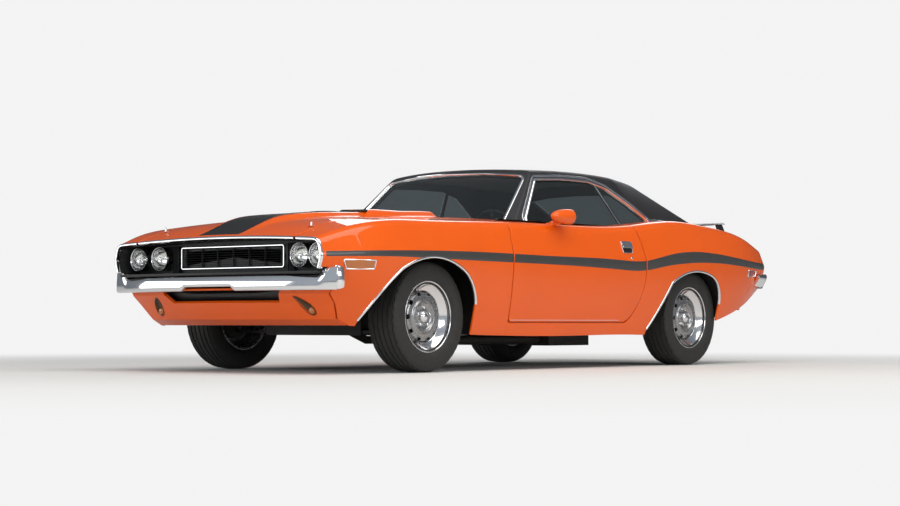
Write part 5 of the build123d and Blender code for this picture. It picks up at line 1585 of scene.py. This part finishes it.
# Door mirrors
MIRROR = (DOOR_FRONT_X - 0.490, HALF_WIDTH - 0.012, BELT_Z + 0.032)
turns = np.linspace(math.pi / 2, 0, 30)
shell = [(0.048 * math.cos(t) ** 0.9, -0.075 + 0.190 * math.sin(t)) for t in turns]
shell += [(0.0472, -0.0775), (0.0455, -0.0785), (0.0440, -0.0770), (0.0440, -0.0720)]
face = [(0.0440, -0.0735), (0.0300, -0.0742), (0.0, -0.0745)]
pair("mirror_head", revolve(shell, MIRROR, 72, axis="x"), PAINT, "door_left")
pair("mirror_glass", revolve(face, MIRROR, 60, axis="x"), CHROME, "door_left", slot="chrome")
foot = np.array((MIRROR[0] + 0.030, HALF_WIDTH - 0.086, 0.0))
foot[2] = top_z(foot[0], foot[1])
stem = smooth_path([np.array(MIRROR) + (0.005, -0.012, -0.030), np.array(MIRROR) + (0.010, -0.030, -0.052),
                    foot + (-0.006, 0.012, 0.014), foot + (0, 0, -0.004)], 0.004)
pair("mirror_stem", tube(stem, np.linspace(0.011, 0.017, len(stem)), 20), PAINT, "door_left")
turns = circle(48)
rows = []
for share, lift in ((1.0, -0.002), (1.0, 0.003), (0.93, 0.006), (0.70, 0.009), (0.35, 0.011), (0.02, 0.012)):
    px, py = foot[0] + np.cos(turns) * 0.044 * share, foot[1] + np.sin(turns) * 0.019 * share
    rows.append(np.stack([px, py, top_z(px, py) + lift], 1))
pair("mirror_foot", grid(np.array(rows), wrap=True), PAINT, "door_left")


# Small pieces on the body's sides
def side_patch(points, lift, depth, radius=0.006, step=0.003):
    """A piece inside an outline of (x, z) places on the left side, standing out by lift."""
    line = filleted(points, radius)
    lo, hi = line.min(0) - step, line.max(0) + step
    gx, gz = np.meshgrid(np.arange(lo[0], hi[0], step), np.arange(lo[1], hi[1], step), indexing="ij")
    v, faces = grid(on_side(gx, gz)[0])
    inside = polygon(line)
    v, faces = clip(turned((v, faces)), lambda q: inside(q[:, 0], q[:, 2]) - 0.001)
    p, n = on_side(v[:, 0], v[:, 2])
    stand = lift(v[:, 0], v[:, 2]) if callable(lift) else np.full(len(v), lift)
    return hem((p + n * stand[:, None], faces), 0.001, depth)


def side_rim(points, radius=0.008, wide=0.004, high=0.005):
    """A bright frame round an outline of (x, z) places on the left side."""
    line = filleted(points, radius)
    p, n = on_side(line[:, 0], line[:, 1])
    t = loop_way(p)
    prof = [(-wide, -0.002), (-wide, 0.6 * high), (-0.5 * wide, high), (0.5 * wide, high), (wide, 0.6 * high),
            (wide, -0.002)]
    return sweep(p, np.cross(t, n), n, prof, True)


MARKER = [(FRONT_AXLE_X + 0.782, 0.640), (FRONT_AXLE_X + 0.572, 0.640), (FRONT_AXLE_X + 0.577, 0.591),
          (FRONT_AXLE_X + 0.754, 0.589)]
REAR_MARKER = [(TAIL_X + 0.306, 0.668), (TAIL_X + 0.158, 0.662), (TAIL_X + 0.179, 0.624),
               (TAIL_X + 0.307, 0.619)]
for end, outline, radius, wide, mat, slot in (("front", MARKER, 0.008, 0.004, AMBER, "lamp_glass"),
                                              ("rear", REAR_MARKER, 0.006, 0.003, RED, "red_lens")):
    pair("marker_rim_" + end, side_rim(outline, radius, wide), CHROME, "chassis", slot="chrome", sharp=40)
    pair("marker_lens_" + end, side_patch(outline, 0.0015, 0.002), mat, "chassis", slot=slot)

HANDLE_X, HANDLE_Z = (DOOR_REAR_X + 0.042, DOOR_REAR_X + 0.162), (0.748, 0.822)
handle_box = [(HANDLE_X[1], HANDLE_Z[1]), (HANDLE_X[0], HANDLE_Z[1]), (HANDLE_X[0] + 0.004, HANDLE_Z[0]),
              (HANDLE_X[1] - 0.014, HANDLE_Z[0])]
flap_box = [(HANDLE_X[1] - 0.004, HANDLE_Z[1] - 0.004), (HANDLE_X[0] + 0.004, HANDLE_Z[1] - 0.004),
            (HANDLE_X[0] + 0.005, HANDLE_Z[0] + 0.030), (HANDLE_X[1] - 0.010, HANDLE_Z[0] + 0.030)]
pair("handle_rim", side_rim(handle_box, 0.008, 0.003, 0.005), CHROME, "door_left", slot="chrome", sharp=40)
pair("handle_recess", side_patch(handle_box, 0.0008, 0.001), TRIM, "door_left", slot="black_trim")
flap = side_patch(flap_box, lambda _, z: 0.006 + 0.006 * ease((HANDLE_Z[1] - z) / 0.040), 0.005, 0.008)
pair("handle_flap", flap, CHROME, "door_left", slot="chrome", sharp=50)
lock = revolve([(0.0, 0.004), (0.006, 0.004), (0.0085, 0.003), (0.0095, 0.0)], (0, 0, 0), 28)
lock_at = on_side(np.array(DOOR_REAR_X + 0.062), np.array(0.715))[0]
pair("door_lock", (lock[0] + lock_at, lock[1]), CHROME, "door_left", slot="chrome", sharp=40)


# The cabin's inside
def dashboard():
    """The padded dashboard, as one profile swept across the car under the windscreen."""
    x1 = DOOR_FRONT_X - 0.030
    line = smooth_path([(x1, 0.885), (x1 - 0.10, 0.905), (x1 - 0.21, 0.912), (x1 - 0.285, 0.896),
                        (x1 - 0.314, 0.860), (x1 - 0.312, 0.800), (x1 - 0.285, 0.720), (x1 - 0.262, 0.640),
                        (x1 - 0.205, 0.575), (x1 - 0.150, 0.562)], 0.008, 3)
    ys = np.linspace(-0.733, 0.733, 120)
    rows = []
    for y in ys:
        end = ease((np.abs(y) - 0.700) / 0.033)
        brow = 0.012 * (1 - ease((abs(y - 0.40) - 0.19) / 0.03))
        brow = brow * np.exp(-((line[:, 0] - x1 + 0.29) / 0.05) ** 2)
        x = line[:, 0] + 0.012 * end
        z = np.minimum(line[:, 1] - 0.010 * end + brow, top_z(x, abs(y)) - SKIN - 0.006)
        rows.append(np.stack([x, np.full(len(x), y), z], 1))
    sheet = grid(np.array(rows))
    return facing(sheet, len(sheet[0]) // 2, 0, -1)


make("dash_pad", *hem(dashboard(), 0.002, 0.03), SEAT, "chassis", ["dashboard"], "interior", sharp=50)
WHEEL_C, WHEEL_TILT = np.array((DOOR_FRONT_X - 0.545, 0.400, 0.838)), math.radians(24.0)
WHEEL_WAY = np.array((-math.cos(WHEEL_TILT), 0, math.sin(WHEEL_TILT)))
WHEEL_UP = np.array((math.sin(WHEEL_TILT), 0, math.cos(WHEEL_TILT)))
WHEEL_SIDE = np.array((0.0, 1.0, 0.0))


def on_wheel(across, up, out):
    """Points given across, up and towards the driver from the steering wheel's centre."""
    across, up, out = (np.asarray(k, float)[..., None] for k in (across, up, out))
    return WHEEL_C + WHEEL_SIDE * across + WHEEL_UP * up + WHEEL_WAY * out


panel = block(-0.006, 0.0, -0.19, 0.19, -0.055, 0.040, 0.006, 3)
make("dash_cluster", panel[0] + (DOOR_FRONT_X - 0.030 - 0.313, 0.40, 0.842), panel[1], TRIM, "chassis",
     slot="black_trim")
rings = [revolve([(r, 0.0), (r, 0.004), (r - 0.003, 0.005), (r - 0.004, 0.001)],
                 (DOOR_FRONT_X - 0.030 - 0.323, 0.40 + y, 0.834), 48, axis="x")
         for y, r in ((-0.13, 0.036), (-0.045, 0.036), (0.045, 0.036), (0.13, 0.036))]
make("dial_rims", *join(*rings), CHROME, "chassis", slot="chrome", sharp=40)
turns = circle(96)
rim_points = on_wheel(0.186 * np.cos(turns), 0.186 * np.sin(turns), np.zeros(96))
radial = unit(rim_points - WHEEL_C)
rim = sweep(rim_points, radial, np.tile(WHEEL_WAY, (96, 1)),
            [(0.0105 * math.cos(k), 0.0105 * math.sin(k)) for k in circle(14)], True)
make("steering_rim", *rim, TRIM, "steering_wheel", ["steering_wheel"], "black_trim", sharp=60)
spokes = []
for angle in (90, 210, 330):
    a = math.radians(angle)
    reach = np.linspace(0.020, 0.180, 12)
    mid = on_wheel(reach * math.cos(a), reach * math.sin(a), -0.022 + 0.020 * (reach / 0.18) ** 1.5)
    side = WHEEL_UP * math.cos(a) - WHEEL_SIDE * math.sin(a)
    wide = np.linspace(0.017, 0.012, 12)[:, None]
    spokes.append(sweep(mid, np.tile(side, (12, 1)) * wide, np.tile(WHEEL_WAY, (12, 1)),
                        [(-1, -0.001), (-0.9, 0.001), (0.9, 0.001), (1, -0.001)]))
make("steering_spokes", *join(*spokes), BRIGHT, "steering_wheel", slot="chrome", sharp=50)
hub = revolve([(0.0, 0.010), (0.020, 0.009), (0.030, 0.004), (0.034, -0.006), (0.034, -0.034),
               (0.028, -0.044)], (0, 0, 0), 48)
hub_v = WHEEL_C + hub[0][:, :1] * WHEEL_SIDE + hub[0][:, 2:] * WHEEL_UP
hub_v = hub_v + hub[0][:, 1:2] * WHEEL_WAY - WHEEL_WAY * 0.008
make("steering_hub", hub_v, hub[1], TRIM, "steering_wheel", slot="black_trim", sharp=50)
column = tube([WHEEL_C - WHEEL_WAY * k for k in np.linspace(0.050, 0.330, 12)], 0.028, 32)
make("steering_column", *column, TRIM, "chassis", slot="interior")
X_CONSOLE = DOOR_FRONT_X - 0.030
console_line = smooth_path([(X_CONSOLE - 0.235, 0.625), (X_CONSOLE - 0.300, 0.595),
                            (X_CONSOLE - 0.420, 0.518), (X_CONSOLE - 1.055, 0.472),
                            (X_CONSOLE - 1.064, 0.440), (X_CONSOLE - 1.066, 0.400)], 0.012, 3)
rows = []
for y, drop in ((-0.092, 0.16), (-0.092, 0.016), (-0.088, 0.005), (-0.078, 0.0), (-0.040, 0.0),
                (-0.036, 0.005), (0.036, 0.005), (0.040, 0.0), (0.078, 0.0), (0.088, 0.005), (0.092, 0.016),
                (0.092, 0.16)):
    rows.append(np.stack([console_line[:, 0], np.full(len(console_line), y),
                          np.maximum(console_line[:, 1] - drop, 0.385)], 1))
make("console", *grid(np.array(rows)), SEAT, "chassis", slot="interior", sharp=50)
lever = tube(smooth_path([(X_CONSOLE - 0.520, 0, 0.500), (X_CONSOLE - 0.525, 0, 0.560),
                          (X_CONSOLE - 0.560, 0, 0.640)], 0.006), 0.006)
make("gear_lever", *lever, CHROME, "chassis", slot="chrome")
knob = revolve([(0.0, 0.024), (0.012, 0.021), (0.021, 0.010), (0.022, -0.004), (0.014, -0.020),
                (0.006, -0.024)], (0, 0, 0), 32)
make("gear_knob", *upright(knob, (X_CONSOLE - 0.563, 0, 0.655)), TRIM, "chassis", slot="black_trim", sharp=60)
pedals = [block(DOOR_FRONT_X - 0.215, DOOR_FRONT_X - 0.200, y - 0.04, y + 0.04, 0.345, 0.405, 0.005)
          for y in (0.33, 0.45)]
make("pedals", *join(*pedals), TRIM, "chassis", slot="black_trim")

# Shelf behind the rear seat
shelf = block(*SHELF_X, -SHELF_HALF, SHELF_HALF, 0.905, 0.917, 0.003)
riser = block(SHELF_X[0], SHELF_X[0] + SKIN, -SHELF_HALF, SHELF_HALF, 0.905, 0.955, 0.002)
make("rear_shelf", *join(shelf, riser), CARPET, "chassis", slot="interior")


# Seats: each pad is swelled by a short cloth simulation, then gets its sewn channels
def swelled(sheet, cap, voxel=0.007):
    """A pad's form under a little inner pressure; no point moves by more than cap."""
    mesh = bpy.data.meshes.new("pad")
    mesh.from_pydata([tuple(q) for q in sheet[0]], [], sheet[1])
    obj = bpy.data.objects.new("pad", mesh)
    scene = bpy.context.scene
    scene.collection.objects.link(obj)

    def result():
        return bpy.data.meshes.new_from_object(obj.evaluated_get(bpy.context.evaluated_depsgraph_get()))

    remesh = obj.modifiers.new("remesh", "REMESH")
    remesh.mode, remesh.voxel_size = "VOXEL", voxel
    dense = result()
    obj.modifiers.clear()
    obj.data = dense
    start = np.array([q.co[:] for q in dense.vertices])
    cloth = obj.modifiers.new("cloth", "CLOTH").settings
    cloth.use_pressure, cloth.uniform_pressure_force = True, 4.0
    cloth.effector_weights.gravity = 0.0
    for frame_number in range(1, 21):
        scene.frame_set(frame_number)
    last = result()
    end = np.array([q.co[:] for q in last.vertices])
    faces = [tuple(f.vertices) for f in last.polygons]
    scene.frame_set(1)
    bpy.data.objects.remove(obj)
    move = end - start
    far = np.linalg.norm(move, axis=1, keepdims=True)
    return start + move * np.minimum(1, cap / np.maximum(far, 1e-9)), faces


def channelled(sheet, lines, axis, depth=0.005, wide=0.005, where=None):
    """Sewn channels pressed into a pad at places along an axis."""
    v, faces = sheet
    dent = sum(np.exp(-((v[:, axis] - k) / wide) ** 2) for k in lines)
    if where is not None:
        dent = dent * where(v)
    return v - normals(v, faces) * (dent * depth)[:, None], faces


def leaned(sheet, pivot, angle):
    """A pad turned about an axis across the car."""
    v, faces = sheet
    c, k = math.cos(angle), math.sin(angle)
    x, z = v[:, 0] - pivot[0], v[:, 2] - pivot[1]
    return np.stack([pivot[0] + x * c - z * k, v[:, 1], pivot[1] + x * k + z * c], 1), faces


SEAT_X, SEAT_Y = DOOR_FRONT_X - 0.620, (0.194, 0.630)
mid_y = sum(SEAT_Y) / 2


def middle(v):
    """1 between a front seat's two long seams, 0 outside them."""
    return ease((0.150 - np.abs(v[:, 1] - mid_y)) / 0.01)


cushion = swelled(block(SEAT_X - 0.440, SEAT_X - 0.030, SEAT_Y[0] + 0.012, SEAT_Y[1] - 0.012, 0.352, 0.424,
                        0.030, 5), 0.016)
cushion = leaned(cushion, (SEAT_X, 0.40), -0.08)
cushion = channelled(cushion, np.linspace(SEAT_X - 0.36, SEAT_X - 0.12, 5), 0,
                     where=lambda v: middle(v) * (v[:, 2] > 0.40))
cushion = channelled(cushion, (mid_y - 0.150, mid_y + 0.150), 1, where=lambda v: (v[:, 2] > 0.38) * 1.0)
back_pad = swelled(block(SEAT_X - 0.516, SEAT_X - 0.432, SEAT_Y[0] + 0.014, SEAT_Y[1] - 0.014, 0.440, 0.900,
                         0.035, 5), 0.014)
back_pad = channelled(back_pad, np.linspace(0.52, 0.80, 6), 2,
                      where=lambda v: middle(v) * (v[:, 0] > SEAT_X - 0.47))
back_pad = channelled(back_pad, (mid_y - 0.150, mid_y + 0.150), 1,
                      where=lambda v: (v[:, 0] > SEAT_X - 0.47) * 1.0)
back_pad = leaned(back_pad, (SEAT_X - 0.440, 0.44), 0.30)
base = block(SEAT_X - 0.470, SEAT_X - 0.030, SEAT_Y[0] + 0.01, SEAT_Y[1] - 0.01, 0.2275, 0.360, 0.02, 3)
for s, tag in SIDES:
    for name, sheet in (("cushion", cushion), ("backrest", back_pad)):
        piece = make(f"front_seat_{name}_{tag}", *(sheet if s > 0 else flipped(sheet)), SEAT, "chassis",
                     ["front_seats"] if s > 0 and name == "cushion" else (), "seat_vinyl", sharp=80)
    make(f"front_seat_base_{tag}", *(base if s > 0 else flipped(base)), TRIM, "chassis", slot="interior")
BENCH_X = DOOR_REAR_X - 0.150
BENCH_SEAMS = [k * 0.075 for k in range(-6, 7)]
bench = swelled(block(BENCH_X - 0.440, BENCH_X - 0.020, -0.572, 0.572, 0.385, 0.468, 0.035, 5), 0.016, 0.009)
bench = channelled(bench, BENCH_SEAMS, 1,
                   where=lambda v: (v[:, 2] > 0.43) * ease((v[:, 0] - BENCH_X + 0.40) / 0.02))
bench_back = swelled(block(BENCH_X - 0.500, BENCH_X - 0.428, -0.572, 0.572, 0.480, 0.860, 0.030, 5), 0.012,
                     0.009)
bench_back = leaned(channelled(bench_back, BENCH_SEAMS, 1,
                               where=lambda v: (v[:, 0] > BENCH_X - 0.46) * ease((0.84 - v[:, 2]) / 0.02)),
                    (BENCH_X - 0.430, 0.48), 0.30)
for name, sheet in (("cushion", bench), ("backrest", bench_back)):
    piece = make(f"rear_seat_{name}", *sheet, SEAT, "chassis", ["rear_seat"] if name == "cushion" else (),
                 "seat_vinyl", sharp=80)
make("rear_seat_base", *block(BENCH_X - 0.420, BENCH_X - 0.010, -0.575, 0.575, 0.395, 0.400, 0.002), TRIM,
     "chassis", slot="interior")

# Pieces that keep their solid from the part's source
# The exhaust gets the dark cast iron partly for its own dark metal and partly as painted shade for the shadow
# under the sill
KEPT = {"floor_pan": UNDER, "front_structure": UNDER, "engine": CAST, "driveline": STEEL, "rear_axle": CAST,
        "front_suspension": UNDER, "knuckle_left": CAST, "knuckle_right": CAST, "exhaust": CAST,
        "fuel_tank": UNDER}
for name, mat in KEPT.items():
    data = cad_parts[name].data
    data.materials.clear()
    data.materials.append(mat)


# Stage, light and camera
BACKDROP = (0.90, 0.90, 0.90, 1)


def floor_material():
    """Pale grey that fades to the backdrop's white far from the car, for camera rays alone."""
    mat = bpy.data.materials.new("floor_pale")
    mat.use_nodes = True
    nt = mat.node_tree
    link = nt.links.new
    bsdf = nt.nodes["Principled BSDF"]
    bsdf.inputs["Roughness"].default_value = 0.9
    noise = add_node(nt, "TexNoise", Scale=1.3)
    mixed(nt, noise.outputs["Fac"], (0.70, 0.69, 0.66), (0.76, 0.75, 0.72), bsdf.inputs["Base Color"])
    far = add_node(nt, "VectorMath")
    far.operation = "LENGTH"
    span = add_node(nt, "MapRange", From_Min=2.4, From_Max=7.5)
    span.interpolation_type = "SMOOTHSTEP"
    both = add_node(nt, "Math")
    both.operation = "MULTIPLY"
    white = add_node(nt, "Emission", Color=BACKDROP)
    blend = add_node(nt, "MixShader")
    link(add_node(nt, "NewGeometry").outputs["Position"], far.inputs[0])
    link(far.outputs["Value"], span.inputs["Value"])
    link(span.outputs["Result"], both.inputs[0])
    link(add_node(nt, "LightPath").outputs["Is Camera Ray"], both.inputs[1])
    link(both.outputs["Value"], blend.inputs["Fac"])
    link(bsdf.outputs["BSDF"], blend.inputs[1])
    link(white.outputs["Emission"], blend.inputs[2])
    link(blend.outputs["Shader"], nt.nodes["Material Output"].inputs["Surface"])
    return mat


def stage():
    """A pale floor and a plain white backdrop."""
    n, reach = 60, 40.0
    pts, faces = turned(grid(np.array([[(x, y, 0.0) for y in np.linspace(-reach, reach, n)]
                                       for x in np.linspace(-reach, reach, n)])))
    floor = bpy.data.meshes.new("floor")
    floor.from_pydata([tuple(p) for p in pts], [], faces)
    obj = bpy.data.objects.new("floor", floor)
    bpy.context.scene.collection.objects.link(obj)
    floor.materials.append(floor_material())
    world = bpy.data.worlds.new("studio")
    bpy.context.scene.world = world
    world.use_nodes = True
    nt = world.node_tree
    link = nt.links.new
    back = nt.nodes["Background"]
    back.inputs["Color"].default_value = (0.80, 0.87, 0.97, 1)
    # The world is brighter ahead of the car than behind it, as a studio is
    face = add_node(nt, "VectorMath")
    face.operation = "DOT_PRODUCT"
    face.inputs[1].default_value = (0.85, 0.50, 0.15)
    glow = add_node(nt, "MapRange", From_Min=-0.8, From_Max=0.9, To_Min=0.10, To_Max=0.50)
    link(add_node(nt, "TexCoord").outputs["Generated"], face.inputs[0])
    link(face.outputs["Value"], glow.inputs["Value"])
    link(glow.outputs["Result"], back.inputs["Strength"])
    shown = add_node(nt, "Background", Color=BACKDROP, Strength=1.0)
    mix = add_node(nt, "MixShader")
    link(add_node(nt, "LightPath").outputs["Is Camera Ray"], mix.inputs["Fac"])
    link(back.outputs["Background"], mix.inputs[1])
    link(shown.outputs["Background"], mix.inputs[2])
    link(mix.outputs["Shader"], nt.nodes["World Output"].inputs["Surface"])


def lamp(name, place, target, size, power, color=(1, 1, 1)):
    """A soft rectangular lamp aimed at a target."""
    data = bpy.data.lights.new(name, "AREA")
    data.shape, data.size, data.size_y = "RECTANGLE", size[0], size[1]
    data.energy, data.color = power, color
    obj = bpy.data.objects.new(name, data)
    bpy.context.scene.collection.objects.link(obj)
    obj.location = place
    obj.rotation_euler = (Vector(target) - Vector(place)).to_track_quat("-Z", "Y").to_euler()


stage()
lamp("key_top", (2.0, 3.5, 7.5), (0, 0, 0.5), (11, 6), 620, (1.0, 0.97, 0.93))
lamp("side_soft", (2.0, 11.0, 3.0), (0, 0, 0.6), (9, 2), 260)
lamp("front_soft", (11.0, 3.0, 3.2), (1.0, 0, 0.6), (4, 2), 130)
lamp("front_right", (10.5, -8.5, 2.0), (2.0, 0, 0.5), (11, 4), 300)
lamp("back_soft", (-8.0, -5.0, 5.0), (0, 0, 0.6), (6, 3), 200)

scene = bpy.context.scene
cam_data = bpy.data.cameras.new("camera")
cam = bpy.data.objects.new("camera", cam_data)
scene.collection.objects.link(cam)
scene.camera = cam
cam_data.sensor_fit, cam_data.sensor_width = "HORIZONTAL", 36.0
cam_data.lens = 2016.4 / 900 * 36.0
YAW, PITCH = math.radians(39.264), math.radians(1.982)
way = Vector((-math.cos(YAW) * math.cos(PITCH), -math.sin(YAW) * math.cos(PITCH), math.sin(PITCH)))
cam.location = (10.4907, 8.4005, 0.2904)
cam.rotation_mode = "QUATERNION"
cam.rotation_quaternion = way.to_track_quat("-Z", "Y")
scene.view_settings.view_transform = "Standard"
